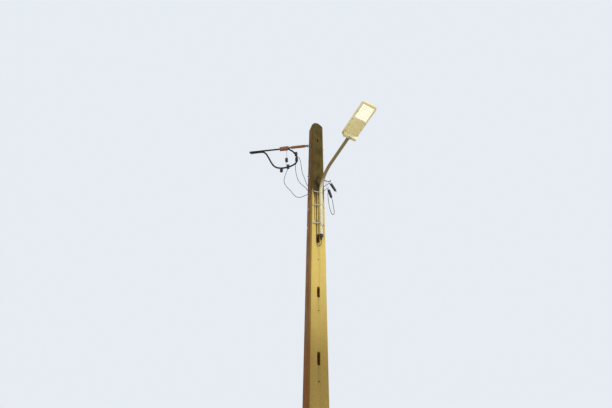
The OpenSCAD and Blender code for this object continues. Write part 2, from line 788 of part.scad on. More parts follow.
lamp_earth_d = 5;
lamp_earth_route = [
    [-8, -40, 7050], [-8, -119, 7050], [-11, -126, 7042], [-26, -124, 7005], [-50, -121, 6930], [-62, -119.5, 6860],
    [-64, -119.5, 6780], [-64, -120.5, 6030], [-56, -124, 5985], [-32, -132, 5955], [-8, -145, 5925],
    [4, -157, 5898], [16, -172, 5876], [30, -182, 5858], [48, -184, 5838], [64, -177, 5814], [75, -165, 5786],
    [79.5, arm_y - 4, 5752], [79.5, arm_y, 5715], [79.5, arm_y, arm_low - 14]
];

module lamp_earth_lead() {
    color("black") cord(lamp_earth_route, lamp_earth_d);
}

boot_l = 112;

module arm_boot() {
    plug_r = arm_r - arm_wall - gap;
    hole_r = lead_d / 2 + gap;
    color("black") translate([arm_x, arm_y, arm_low]) rotate_extrude() polygon([
        [hole_r, -boot_l], [hole_r + 4, -boot_l], [hole_r + 7, -boot_l + 14], [arm_r - 7, -30], [arm_r - 1, -10],
        [arm_r - 1, -gap], [plug_r, -gap], [plug_r, 22], [hole_r, 22]
    ]);
    color("black") translate([79.5, arm_y, arm_low - 40]) difference() {
        union() {
            cylinder(d = 13, h = 28);
            translate([-16, -4, 0]) cube([12, 8, 28]);
        }
        translate([0, 0, 20]) cylinder(d = lamp_earth_d + 2 * gap, h = 20);
    }
}

outer_lead_points = [
    [200, 7652, 38], [158, 7610, 34], [130, 7535, 28], [110, 7400, 20], [98, 7300, 15], [76, 7170, 6], [38, 7062, -14]
];
outer_lead_back = [
    [-176, 66, 7000], [-141, 99, 6975], [-113, 120, 6965], [113, 120, 6965], [146, 98, 6982], [200, 64, 7018],
    [252, 30, 7060], [284, 13, 7080], [302, 7, 7080]
];
outer_lead_route = concat(
    [span_point(tap_inner_at[0], tap_inner_at[1] - tap_h / 2, tap_side)],
    span_route(outer_lead_points),
    outer_lead_back,
    [drop_point(outer_at, outer_dip, outer_bail_l + 4), drop_point(outer_at, outer_dip, outer_bail_l + drop_l + 30)]
);

module outer_service_lead() {
    color("black") cord(outer_lead_route, lead_d);
}

inner_lead_points = [
    [208, 7470, 36], [221, 7370, 29], [206, 7210, 19], [182, 7090, 12], [138, 6965, 0], [84, 6896, -14]
];
inner_lead_back = [
    [-168, 74, 6856], [-141, 99, 6849], [-113, 120, 6845], [113, 120, 6845], [146, 98, 6858], [186, 70, 6890],
    [226, 37, 6930], [247, 23, 6938]
];
drop_loop_points = [
    [346, 31, 6650], [362, 31, 6520], [372, 29, 6390], [358, 26, 6325], [328, 22, 6318], [298, 18, 6378],
    [268, 11, 6510], [247, 3, 6680], [243, -2, 6800]
];
inner_lead_route = concat(
    [span_point(tap_outer_at[0], tap_outer_at[1] - tap_h / 2, tap_side)],
    span_route(inner_lead_points),
    inner_lead_back,
    [drop_point(inner_at, inner_dip, inner_bail_l + 4), drop_point(inner_at, inner_dip, inner_bail_l + drop_l + 30)],
    drop_loop_points
);

module inner_service_lead() {
    color("black") cord(inner_lead_route, lead_d);
}

// Drop hook and clamps on the right face

module drop_hook() {
    back = pole_w(hook_z) / 2 + 2 * gap + washer_t + nut_t + thread_past;
    color("gray") translate([0, 0, hook_z]) {
        translate([-back, 0, 0]) rotate([0, 90, 0]) cylinder(d = bolt_d, h = back + hook_reach);
        translate([hook_reach, 0, hook_bend]) rotate([90, 90, 0]) rotate_extrude(angle = 90)
            translate([hook_bend, 0]) circle(d = bolt_d);
        translate([hook_reach + hook_bend, 0, hook_bend]) cylinder(d = bolt_d, h = hook_tip);
    }
}

module at_drop(at, dip) {
    translate(bail_top(at)) rotate([0, 0, drop_turn]) rotate([0, dip, 0]) children();
}

module drop_body(l) {
    translate([l, 0, 0]) clamp_shell(drop_l, drop_h, drop_h_out, drop_w, drop_wall, 14, 0, bail_d);
}

module drop_wedge(l) {
    translate([l, 0, 0]) wedge_pair(drop_l, drop_h, drop_h_out, drop_w, drop_wall, lead_d);
}

module outer_clamp_body() { color("black") at_drop(outer_at, outer_dip) drop_body(outer_bail_l); }
module outer_clamp_wedges() { color("dimgray") at_drop(outer_at, outer_dip) drop_wedge(outer_bail_l); }
module outer_clamp_bail() { color("silver") at_drop(outer_at, outer_dip) bail(outer_bail_l + 14, drop_w, bail_d); }
module inner_clamp_body() { color("black") at_drop(inner_at, inner_dip) drop_body(inner_bail_l); }
module inner_clamp_wedges() { color("dimgray") at_drop(inner_at, inner_dip) drop_wedge(inner_bail_l); }
module inner_clamp_bail() { color("silver") at_drop(inner_at, inner_dip) bail(inner_bail_l + 14, drop_w, bail_d); }

pole_shaft();
lamp_arm();
arm_boot();
strap_lower();
strap_middle();
strap_upper();
strap_buckles();
lamp_housing();
socket_block();
gear_cover();
window_frame();
window_glass();
light_board();
cooling_fins();
socket_screws();
eye_bolt();
bolt_washers();
bolt_nuts();
turnbuckle_inner_eye();
turnbuckle_body();
turnbuckle_outer_eye();
clamp_bail();
clamp_body();
clamp_wedges();
bundle_run();
bundle_loop();
bundle_caps();
bundle_ties();
tap_inner();
tap_outer();
tap_lead();
tap_low();
tap_earth();
earth_wire();
lamp_lead();
lamp_earth_lead();
drop_hook();
outer_clamp_body();
outer_clamp_wedges();
outer_clamp_bail();
inner_clamp_body();
inner_clamp_wedges();
inner_clamp_bail();
outer_service_lead();
inner_service_lead();
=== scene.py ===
"""A concrete utility pole with a street lamp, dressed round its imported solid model.

Metres, +Z up, the slotted front face looks along -Y. Every finished piece has its place in its mesh.
"""

import json
import logging
import math
from collections.abc import Callable, Iterable, Sequence
from dataclasses import dataclass
from enum import Enum
from typing import Protocol

import bpy
import bmesh
from mathutils import Matrix, Vector

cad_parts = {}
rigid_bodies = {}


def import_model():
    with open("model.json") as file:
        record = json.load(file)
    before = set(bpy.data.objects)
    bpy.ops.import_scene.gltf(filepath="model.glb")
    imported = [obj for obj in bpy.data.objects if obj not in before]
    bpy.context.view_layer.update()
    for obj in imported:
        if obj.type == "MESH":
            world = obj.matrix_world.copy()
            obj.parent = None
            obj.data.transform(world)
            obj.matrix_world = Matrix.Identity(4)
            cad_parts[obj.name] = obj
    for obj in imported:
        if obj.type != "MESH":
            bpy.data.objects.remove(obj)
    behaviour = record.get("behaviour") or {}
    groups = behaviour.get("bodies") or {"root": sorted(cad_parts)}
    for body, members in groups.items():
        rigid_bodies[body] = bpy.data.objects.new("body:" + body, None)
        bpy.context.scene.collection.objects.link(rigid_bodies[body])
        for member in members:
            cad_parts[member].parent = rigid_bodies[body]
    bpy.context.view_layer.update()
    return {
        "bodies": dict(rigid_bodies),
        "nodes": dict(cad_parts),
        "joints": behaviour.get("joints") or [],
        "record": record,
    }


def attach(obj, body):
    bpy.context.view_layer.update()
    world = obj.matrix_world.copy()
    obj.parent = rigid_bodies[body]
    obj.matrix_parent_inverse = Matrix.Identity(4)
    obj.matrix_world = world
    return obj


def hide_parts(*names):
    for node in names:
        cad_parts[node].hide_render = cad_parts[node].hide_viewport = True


LOG = logging.getLogger("pole")
BODY = "root"
SIDES = (-1.0, 1.0)
PITCH = 0.003
MIRROR = Matrix.Scale(-1.0, 4, (1.0, 0.0, 0.0))
Rgb = tuple[float, float, float]
Point = tuple[float, float, float]
Pair = tuple[float, float]
Nodes = dict[str, bpy.types.Object]
Socket = bpy.types.NodeSocket
Test = Callable[..., bool]


class Slot(Enum):
    """The record's material slots."""

    CONCRETE = "concrete"
    ARM = "arm_paint"
    LAMP = "lamp_shell"
    FRAME = "lamp_frame"
    ANCHOR = "anchor_paint"
    ZINC = "galvanised"
    BAND = "band_steel"
    BLACK = "black_plastic"
    GREY = "grey_plastic"
    BROWN = "brown_plastic"
    CABLE = "cable_black"
    GLASS = "clear_glass"
    BOARD = "board_white"


class Sum(Enum):
    """The sums that a finish is worked out with."""

    PLUS = "ADD"
    MINUS = "SUBTRACT"
    TIMES = "MULTIPLY"
    SIZE = "ABSOLUTE"
    FRACTION = "FRACT"
    MOST = "MAXIMUM"


class Cut(Enum):
    """What a cut leaves of a shape."""

    OUTSIDE = "DIFFERENCE"
    INSIDE = "INTERSECT"


class Graph:
    """A node tree that is built from its start."""

    def __init__(self, tree: bpy.types.NodeTree) -> None:
        """Empties the tree.

        Args:
            tree: The material's or the world's tree.
        """
        self.nodes = tree.nodes
        self.links = tree.links
        self.nodes.clear()

    def feed(self, socket: Socket, value: object) -> None:
        """Links a socket to another socket, or sets it.

        Args:
            socket: The input.
            value: An output socket, a number or a colour.
        """
        if isinstance(value, Socket):
            self.links.new(value, socket)
        elif isinstance(value, tuple) and len(value) == 3 and socket.type == "RGBA":
            socket.default_value = (*value, 1.0)
        else:
            socket.default_value = value

    def add(self, kind: str, **inputs: object) -> bpy.types.Node:
        """Adds a node and feeds its inputs.

        Args:
            kind: The kind of node.
            **inputs: Its inputs by their names, with underscores for spaces.

        Returns:
            The node.
        """
        node = self.nodes.new("ShaderNode" + kind)
        for name, value in inputs.items():
            self.feed(node.inputs[name.replace("_", " ")], value)
        return node

    def sum(self, way: Sum, first: object, *others: object) -> Socket:
        """Works out a sum.

        Args:
            way: The kind of sum.
            first: The first value.
            *others: What it goes on with, from left to right, or nothing for a sum on one value.

        Returns:
            The result.
        """
        result = first
        for other in others or (0.0,):
            node = self.add("Math")
            node.operation = way.value
            self.feed(node.inputs[0], result)
            self.feed(node.inputs[1], other)
            result = node.outputs[0]
        return result

    def times(self, *factors: object) -> Socket:
        """The product of some values."""
        return self.sum(Sum.TIMES, *factors)

    def plus(self, *terms: object) -> Socket:
        """The total of some values."""
        return self.sum(Sum.PLUS, *terms)

    def minus(self, a: object, b: object) -> Socket:
        """One value less another."""
        return self.sum(Sum.MINUS, a, b)

    def span(self, value: object, low: float, high: float, start: float = 0.0, end: float = 1.0) -> Socket:
        """A smooth step from one value to another.

        Args:
            value: What is stepped.
            low: Where the step starts.
            high: Where it ends.
            start: The result below low.
            end: The result above high.

        Returns:
            The stepped value.
        """
        node = self.add("MapRange", Value=value, From_Min=low, From_Max=high, To_Min=start, To_Max=end)
        node.interpolation_type = "SMOOTHSTEP"
        return node.outputs[0]

    def mix(self, share: object, below: object, above: object) -> Socket:
        """One colour over another.

        Args:
            share: How much of the colour above shows.
            below: The colour below.
            above: The colour above.

        Returns:
            The mixed colour.
        """
        node = self.add("Mix")
        node.data_type = "RGBA"
        self.feed(node.inputs[0], share)
        self.feed(node.inputs[6], below)
        self.feed(node.inputs[7], above)
        return node.outputs[2]

    def axes(self, vector: Socket) -> tuple[Socket, ...]:
        """The X, Y and Z parts of a vector."""
        return tuple(self.add("SeparateXYZ", Vector=vector).outputs)

    def facing(self) -> tuple[Socket, ...]:
        """The parts of the surface's own normal."""
        return self.axes(self.add("NewGeometry").outputs["True Normal"])


class Finish(Graph):
    """The node tree of one finish."""

    def __init__(self, name: str) -> None:
        """Starts a material with a plain shader.

        Args:
            name: The material's name.
        """
        self.material = bpy.data.materials.new(name)
        self.material.use_nodes = True
        super().__init__(self.material.node_tree)
        self.shader = self.add("BsdfPrincipled")
        self.add("OutputMaterial", Surface=self.shader.outputs[0])
        self.place = self.add("TexCoord").outputs["Object"]

    def stretched(self, scale: Point) -> Socket:
        """The piece's coordinates with each axis scaled on its own."""
        return self.add("Mapping", Scale=scale, Vector=self.place).outputs[0]

    def noise(self, scale: float, detail: float = 3.0, rough: float = 0.55, place: Socket | None = None,
              warp: float = 0.0) -> Socket:
        """Cloudy variation from 0 to 1.

        Args:
            scale: Clouds per metre.
            detail: Octaves.
            rough: Strength of the finer octaves.
            place: The coordinates, or None for the piece's own.
            warp: Distortion.

        Returns:
            The value.
        """
        node = self.add("TexNoise", Scale=scale, Detail=detail, Roughness=rough, Distortion=warp,
                        Vector=place or self.place)
        return node.outputs[0]

    def cells(self, scale: float, place: Socket | None = None) -> tuple[Socket, Socket]:
        """Cells, as of pores, stones or spangle.

        Args:
            scale: Cells per metre.
            place: The coordinates, or None for the piece's own.

        Returns:
            The distance from a cell's middle, and a value that is even over each cell.
        """
        node = self.add("TexVoronoi", Scale=scale, Vector=place or self.place)
        return node.outputs[0], node.outputs[1]

    def relief(self, height: Socket, depth: float, strength: float = 0.5) -> None:
        """Raises the surface by a height map.

        Args:
            height: The height from 0 to 1.
            depth: The depth of a height of 1, in metres.
            strength: How strongly it shows.
        """
        bump = self.add("Bump", Strength=strength, Distance=depth, Height=height)
        self.links.new(bump.outputs[0], self.shader.inputs["Normal"])

    def surface(self, colour: object, rough: object, **more: object) -> bpy.types.Material:
        """Closes the tree.

        Args:
            colour: The base colour.
            rough: The roughness.
            **more: Other inputs of the shader by their names, with underscores for spaces.

        Returns:
            The finished material.
        """
        for name, value in {"Base_Color": colour, "Roughness": rough, **more}.items():
            self.feed(self.shader.inputs[name.replace("_", " ")], value)
        return self.material


@dataclass(frozen=True)
class CastConcrete:
    """Weathered cast concrete with pores and rain streaks, with painted shade on the head and the left side
    and a painted shadow beside the leads.
    """

    name: str = "cast_concrete"
    light: Rgb = (0.74, 0.55, 0.135)
    deep: Rgb = (0.58, 0.415, 0.095)
    pale: Rgb = (0.82, 0.66, 0.27)
    # Painted shade: the dark colour of the head, above the reach of the lamp's light.
    head: Rgb = (0.036, 0.024, 0.006)
    # Painted shade: the left side darker and browner, as lit only by dim orange light.
    side: Rgb = (0.165, 0.050, 0.010)
    # Painted shadow of the leads: the colour of the dark band down the front beside them.
    stain_and_shade: Rgb = (0.10, 0.062, 0.022)
    grime: Rgb = (0.075, 0.055, 0.028)
    lower_dark: Rgb = (0.17, 0.098, 0.005)
    soil: Rgb = (0.12, 0.11, 0.06)
    grit_dark: Rgb = (0.25, 0.18, 0.08)
    grit_pale: Rgb = (0.85, 0.70, 0.36)
    lower_dark_z: Pair = (4.8, 3.4)
    head_shade_z: Pair = (6.50, 6.74)
    lead_shadow_z: Pair = (6.2, 6.6)
    lead_shadow_top: Pair = (7.10, 7.00)
    lead_shadow_x: float = 0.042
    soil_z: Pair = (0.62, 0.08)
    drip_top: Pair = (5.52, 5.49)
    slot_low: float = 0.505

    def cast(self, g: Finish, patches: Socket, sand: Socket) -> Socket:
        """The clean concrete with its stones, darker towards the bottom, most of all on the front.

        Args:
            g: The tree.
            patches: Clouds a hand wide.
            sand: Clouds as fine as sand.

        Returns:
            The colour.
        """
        ny = g.facing()[1]
        broad = g.noise(1.3, 4.0, place=g.stretched((1.0, 1.0, 0.4)))
        colour = g.mix(g.span(broad, 0.35, 0.68), self.light, self.deep)
        colour = g.mix(g.span(patches, 0.52, 0.78, 0.0, 0.45), colour, self.deep)
        colour = g.mix(g.span(patches, 0.44, 0.24, 0.0, 0.25), colour, self.pale)
        # Darker towards the bottom, most of all on the front.
        lower_darkening = g.times(g.span(g.axes(g.place)[2], *self.lower_dark_z, 0.0, 0.88), g.span(ny, 0.3, -0.3, 0.3, 1.0))
        colour = g.mix(lower_darkening, colour, self.lower_dark)
        stones = g.mix(g.span(g.cells(210.0)[1], 0.2, 0.8), self.grit_dark, self.grit_pale)
        colour = g.mix(0.16, colour, stones)
        return g.mix(g.span(sand, 0.45, 0.75, 0.0, 0.3), colour, self.grime)

    def weathered(self, g: Finish, colour: Socket, patches: Socket) -> Socket:
        """The painted shade on the left side and the head, the darker back, the rain streaks and drips, the
        painted shadow beside the leads, and the soil splash.

        Args:
            g: The tree.
            colour: The clean concrete.
            patches: Clouds a hand wide.

        Returns:
            The colour.
        """
        x, _, z = g.axes(g.place)
        nx, ny, _ = g.facing()
        # Painted shade: the left side darker and browner, where only dim orange light falls.
        left = g.times(g.span(nx, -0.4, -0.85), g.span(patches, 0.2, 0.7, 0.95, 0.84))
        colour = g.mix(left, colour, self.side)
        colour = g.mix(g.times(g.span(ny, 0.4, 0.85), 0.38), colour, self.grime)
        run = g.noise(1.0, 5.0, 0.6, place=g.stretched((26.0, 26.0, 0.55)), warp=0.15)
        uneven = g.minus(run, 0.5)
        ragged = g.plus(z, g.times(uneven, -1.1))
        # Painted shade: the head darker above a ragged line, in full on the front and by half elsewhere,
        # where the lamp's light doesn't reach.
        up = g.times(g.span(ragged, *self.head_shade_z), g.span(patches, 0.25, 0.75, 0.97, 0.86))
        colour = g.mix(g.times(up, g.span(ny, -0.5, -0.9, 0.5, 1.0)), colour, self.head)
        streak = g.times(g.span(run, 0.56, 0.76), g.span(z, 2.0, 8.6, 0.18, 0.55))
        colour = g.mix(streak, colour, self.grime)
        below = g.minus(1.0, g.sum(Sum.FRACTION, g.minus(z, self.slot_low)))
        wander = g.times(uneven, 0.05)
        wide = g.sum(Sum.SIZE, g.plus(x, wander))
        drip = g.times(g.span(below, 0.42, 0.0), g.span(wide, 0.034, 0.012), g.span(z, *self.drip_top), 0.2)
        colour = g.mix(drip, colour, self.grime)
        # Painted shadow of the leads: a dark band down the front beside them, from about 7 m down to a ragged
        # edge.
        beside = g.sum(Sum.SIZE, g.plus(x, self.lead_shadow_x, wander))
        stain_and_shade = g.times(g.span(beside, 0.040, 0.010), g.span(ny, -0.5, -0.9),
                        g.span(ragged, *self.lead_shadow_z, 0.0, 0.75), g.span(z, *self.lead_shadow_top))
        colour = g.mix(stain_and_shade, colour, self.stain_and_shade)
        splash = g.plus(z, g.times(g.minus(patches, 0.5), 0.9))
        return g.mix(g.span(splash, *self.soil_z, 0.0, 0.6), colour, self.soil)

    def build(self) -> bpy.types.Material:
        """Makes the material.

        Returns:
            The material.
        """
        g = Finish(self.name)
        patches = g.noise(9.0, 6.0, 0.62, place=g.stretched((1.0, 1.0, 0.55)))
        sand = g.noise(120.0, 4.0, 0.7)
        colour = self.weathered(g, self.cast(g, patches, sand), patches)
        pore = g.times(g.span(g.cells(46.0, g.stretched((1.0, 1.0, 0.8)))[0], 0.17, 0.08),
                       g.span(g.noise(5.0, 2.0), 0.47, 0.58))
        colour = g.mix(g.times(pore, 0.75), colour, self.grime)
        height = g.minus(g.plus(g.times(sand, 0.35), g.times(patches, 0.8)), g.times(pore, 0.9))
        g.relief(height, 0.0035, 0.8)
        return g.surface(colour, g.span(patches, 0.3, 0.8, 0.93, 0.8), Specular_IOR_Level=0.1)


@dataclass(frozen=True)
class PaintedMetal:
    """Paint over metal, with rain dirt, and optionally painted shade higher up and a painted highlight on
    what looks down and out.
    """

    name: str
    colour: Rgb
    dirt: Rgb = (0.11, 0.095, 0.07)
    dirty: float = 0.35
    rough: float = 0.45
    grain: float = 420.0
    # Painted shade: a darker colour above the rise, where the lamp's light doesn't reach.
    high: Rgb | None = None
    rise: Pair = (6.62, 6.95)
    # Painted highlight: a paler colour on what looks down and out, as lit by the lamp's own light.
    lamp_lit_face: Rgb | None = None

    def build(self) -> bpy.types.Material:
        """Makes the material.

        Returns:
            The material.
        """
        g = Finish(self.name)
        cloud = g.noise(7.0, 5.0, 0.6)
        run = g.noise(1.0, 5.0, 0.6, place=g.stretched((60.0, 60.0, 3.0)))
        peel = g.noise(self.grain, 2.0, 0.5)
        paler = tuple(min(1.0, 1.18 * c + 0.02) for c in self.colour)
        colour = g.mix(g.span(cloud, 0.4, 0.7), self.colour, paler)
        # Painted shade higher up, above a ragged level.
        if self.high:
            level = g.plus(g.axes(g.place)[2], g.times(g.minus(cloud, 0.5), 0.3))
            colour = g.mix(g.span(level, *self.rise), colour, self.high)
        # Painted highlight on what looks down and out.
        if self.lamp_lit_face:
            _, ny, nz = g.facing()
            turned = g.plus(g.times(ny, -0.8), g.times(nz, -0.5))
            colour = g.mix(g.span(turned, 0.5, 0.8), colour, self.lamp_lit_face)
        colour = g.mix(g.span(run, 0.55, 0.8, 0.0, self.dirty), colour, self.dirt)
        specks = g.noise(55.0, 4.0, 0.7)
        colour = g.mix(g.span(specks, 0.62, 0.78, 0.0, self.dirty * 0.9), colour, self.dirt)
        g.relief(g.plus(peel, g.times(cloud, 0.5)), 0.0003)
        rough = g.span(cloud, 0.3, 0.75, self.rough, self.rough + 0.2)
        return g.surface(colour, rough, Specular_IOR_Level=0.35)


@dataclass(frozen=True)
class WornPaint:
    """Coloured paint worn through to dull metal in chips and scrapes."""

    name: str
    colour: Rgb
    bare: Rgb = (0.30, 0.28, 0.26)
    rust: Rgb = (0.20, 0.075, 0.025)

    def build(self) -> bpy.types.Material:
        """Makes the material.

        Returns:
            The material.
        """
        g = Finish(self.name)
        cloud = g.noise(24.0, 5.0, 0.6)
        chips = g.noise(85.0, 6.0, 0.68, warp=0.4)
        deeper = tuple(0.55 * c for c in self.colour)
        colour = g.mix(g.span(cloud, 0.35, 0.7), self.colour, deeper)
        colour = g.mix(g.span(chips, 0.60, 0.66), colour, self.rust)
        colour = g.mix(g.span(chips, 0.66, 0.70), colour, self.bare)
        g.relief(g.minus(1.0, g.span(chips, 0.60, 0.67)), 0.0006, 0.7)
        return g.surface(colour, g.span(cloud, 0.3, 0.7, 0.48, 0.72), Metallic=0.25)


@dataclass(frozen=True)
class ZincSteel:
    """Hot-dip galvanised steel with faint spangle, dulled by weather."""

    name: str
    light: Rgb
    dark: Rgb
    rusty: float = 0.25
    metal: float = 0.5
    bloom: Rgb = (0.42, 0.41, 0.39)
    rust: Rgb = (0.22, 0.11, 0.05)

    def build(self) -> bpy.types.Material:
        """Makes the material.

        Returns:
            The material.
        """
        g = Finish(self.name)
        spangle = g.cells(130.0)[1]
        cloud = g.noise(30.0, 5.0, 0.6)
        colour = g.mix(g.span(spangle, 0.1, 0.9), self.dark, self.light)
        colour = g.mix(g.span(cloud, 0.45, 0.75, 0.0, 0.5), colour, self.bloom)
        colour = g.mix(g.span(g.noise(70.0, 5.0, 0.7), 0.6, 0.75, 0.0, self.rusty), colour, self.rust)
        g.relief(g.plus(cloud, g.times(spangle, 0.25)), 0.0004)
        return g.surface(colour, g.span(cloud, 0.3, 0.8, 0.42, 0.68), Metallic=self.metal)


@dataclass(frozen=True)
class RolledSteel:
    """Steel band with fine rolling lines round it and stains, darkened on the pole's left side as painted
    shade.
    """

    name: str = "band_steel"
    colour: Rgb = (0.60, 0.55, 0.40)
    line: Rgb = (0.40, 0.36, 0.26)
    # Stains, and the painted shade of the pole's left side.
    stain_and_shade: Rgb = (0.075, 0.045, 0.025)

    def build(self) -> bpy.types.Material:
        """Makes the material.

        Returns:
            The material.
        """
        g = Finish(self.name)
        lines = g.noise(1.0, 3.0, 0.6, place=g.stretched((12.0, 12.0, 2600.0)))
        cloud = g.noise(18.0, 4.0)
        colour = g.mix(g.span(lines, 0.3, 0.7), self.colour, self.line)
        colour = g.mix(g.span(cloud, 0.45, 0.75, 0.0, 0.6), colour, self.stain_and_shade)
        # Painted shade: the bands darker on the pole's left side.
        colour = g.mix(g.span(g.facing()[0], -0.4, -0.85, 0.0, 0.85), colour, self.stain_and_shade)
        g.relief(lines, 0.00008)
        rough = g.span(cloud, 0.3, 0.7, 0.40, 0.62)
        return g.surface(colour, rough, Metallic=0.5, Specular_IOR_Level=0.3)


@dataclass(frozen=True)
class MouldedPlastic:
    """Moulded plastic with a fine grain and dust on what looks up."""

    name: str
    colour: Rgb
    rough: float = 0.5
    dust: float = 0.16
    dust_colour: Rgb = (0.16, 0.135, 0.10)

    def build(self) -> bpy.types.Material:
        """Makes the material.

        Returns:
            The material.
        """
        g = Finish(self.name)
        cloud = g.noise(38.0, 5.0, 0.6)
        greyer = tuple(0.8 * c + 0.008 for c in self.colour)
        colour = g.mix(g.span(cloud, 0.4, 0.72), self.colour, greyer)
        lies = g.times(g.span(g.facing()[2], 0.1, 0.95), g.span(cloud, 0.25, 0.7, 0.35, 1.0), self.dust)
        colour = g.mix(lies, colour, self.dust_colour)
        g.relief(g.noise(900.0, 2.0), 0.00012)
        return g.surface(colour, g.span(cloud, 0.3, 0.7, self.rough, self.rough + 0.18))


@dataclass(frozen=True)
class CableSheath:
    """Black cable insulation, chalked a little by the sun."""

    name: str = "cable_black"
    colour: Rgb = (0.012, 0.012, 0.013)
    faded: Rgb = (0.014, 0.014, 0.015)
    chalk: Rgb = (0.024, 0.023, 0.021)

    def build(self) -> bpy.types.Material:
        """Makes the material.

        Returns:
            The material.
        """
        g = Finish(self.name)
        cloud = g.noise(20.0, 5.0, 0.65)
        colour = g.mix(g.span(cloud, 0.35, 0.7), self.colour, self.faded)
        lies = g.times(g.span(g.facing()[2], 0.0, 0.9), g.span(cloud, 0.35, 0.65, 0.2, 0.8))
        colour = g.mix(lies, colour, self.chalk)
        g.relief(g.noise(700.0, 2.0), 0.0001)
        return g.surface(colour, g.span(cloud, 0.3, 0.7, 0.5, 0.7), Specular_IOR_Level=0.25)


@dataclass(frozen=True)
class ClearGlass:
    """Flat toughened glass with a little dust."""

    name: str = "clear_glass"
    colour: Rgb = (0.95, 0.96, 0.95)

    def build(self) -> bpy.types.Material:
        """Makes the material.

        Returns:
            The material.
        """
        g = Finish(self.name)
        rough = g.span(g.noise(16.0, 5.0, 0.65), 0.4, 0.8, 0.04, 0.22)
        return g.surface(self.colour, rough, Transmission_Weight=0.95, IOR=1.45)


@dataclass(frozen=True)
class Lit:
    """White board or clear lens of a lamp that is switched on."""

    name: str
    colour: Rgb
    spot: Rgb
    glow: Rgb
    strength: float

    def build(self) -> bpy.types.Material:
        """Makes the material.

        Returns:
            The material.
        """
        g = Finish(self.name)
        colour = g.mix(g.span(g.noise(60.0, 3.0), 0.3, 0.7), self.colour, self.spot)
        return g.surface(colour, 0.35, Emission_Color=self.glow, Emission_Strength=self.strength)


class Look(Protocol):
    """A finish that can be made."""

    def build(self) -> bpy.types.Material:
        """Makes the material."""


class Coat:
    """A finish, made once, with the record's slot that it belongs to."""

    def __init__(self, slot: Slot, finish: Look) -> None:
        """Makes the finish.

        Args:
            slot: The slot.
            finish: The finish.
        """
        self.slot = slot.value
        self.material = finish.build()


class Palette:
    """Every finish of the pole."""

    def __init__(self) -> None:
        """Makes the finishes."""
        self.concrete = Coat(Slot.CONCRETE, CastConcrete())
        # The arm's darker colour higher up is painted shade, above the reach of the lamp's light.
        self.arm = Coat(Slot.ARM, PaintedMetal("arm_paint", (0.64, 0.58, 0.36), dirty=0.3,
                                               high=(0.25, 0.185, 0.075)))
        self.lamp = Coat(Slot.LAMP, PaintedMetal("lamp_paint", (0.86, 0.73, 0.34), dirty=0.2))
        # The socket is a darker copy of the lamp paint as painted shade, with a painted highlight from the
        # lamp's light on what looks down and out.
        self.socket = Coat(Slot.LAMP, PaintedMetal("socket_paint_lit_and_shaded", (0.58, 0.48, 0.16), dirty=0.08,
                                                   lamp_lit_face=(0.98, 0.90, 0.56)))
        self.frame = Coat(Slot.FRAME, PaintedMetal("window_frame_paint", (0.82, 0.75, 0.50), dirty=0.2))
        self.anchor = Coat(Slot.ANCHOR, WornPaint("anchor_paint", (0.33, 0.115, 0.035)))
        self.anchor_bar = Coat(Slot.ZINC, WornPaint("anchor_bar_paint", (0.23, 0.082, 0.028)))
        self.zinc = Coat(Slot.ZINC, ZincSteel("zinc_steel", (0.25, 0.24, 0.215), (0.14, 0.132, 0.118)))
        self.dark_zinc = Coat(Slot.ZINC, ZincSteel("dark_zinc_steel", (0.065, 0.055, 0.043),
                                                   (0.032, 0.026, 0.020), rusty=0.35, metal=0.3))
        self.band = Coat(Slot.BAND, RolledSteel())
        self.black = Coat(Slot.BLACK, MouldedPlastic("black_plastic", (0.012, 0.012, 0.012)))
        self.grey = Coat(Slot.GREY, MouldedPlastic("grey_plastic", (0.060, 0.060, 0.062)))
        self.brown = Coat(Slot.BROWN, MouldedPlastic("brown_plastic", (0.085, 0.042, 0.018)))
        self.cable = Coat(Slot.CABLE, CableSheath())
        self.glass = Coat(Slot.GLASS, ClearGlass())
        self.board = Coat(Slot.BOARD, Lit("lit_board", (0.70, 0.66, 0.52), (0.60, 0.55, 0.42),
                                          (1.0, 0.88, 0.60), 0.75))
        self.lens = Coat(Slot.BOARD, Lit("lit_lens", (0.9, 0.87, 0.75), (0.8, 0.76, 0.6),
                                         (1.0, 0.94, 0.78), 1.1))


def added(name: str, data: bpy.types.ID) -> bpy.types.Object:
    """Puts new data in the scene as an object.

    Args:
        name: The object's name.
        data: Its mesh, curve, lamp or camera.

    Returns:
        The object.
    """
    piece = bpy.data.objects.new(name, data)
    bpy.context.scene.collection.objects.link(piece)
    return piece


@dataclass(frozen=True)
class Sun:
    """One soft lamp of the studio."""

    name: str
    towards: Point
    strength: float
    angle: float

    def build(self) -> None:
        """Lights it."""
        data = bpy.data.lights.new(self.name, "SUN")
        data.energy = self.strength
        data.angle = math.radians(self.angle)
        lamp = added(self.name, data)
        lamp.rotation_euler = Vector(self.towards).to_track_quat("Z", "Y").to_euler()


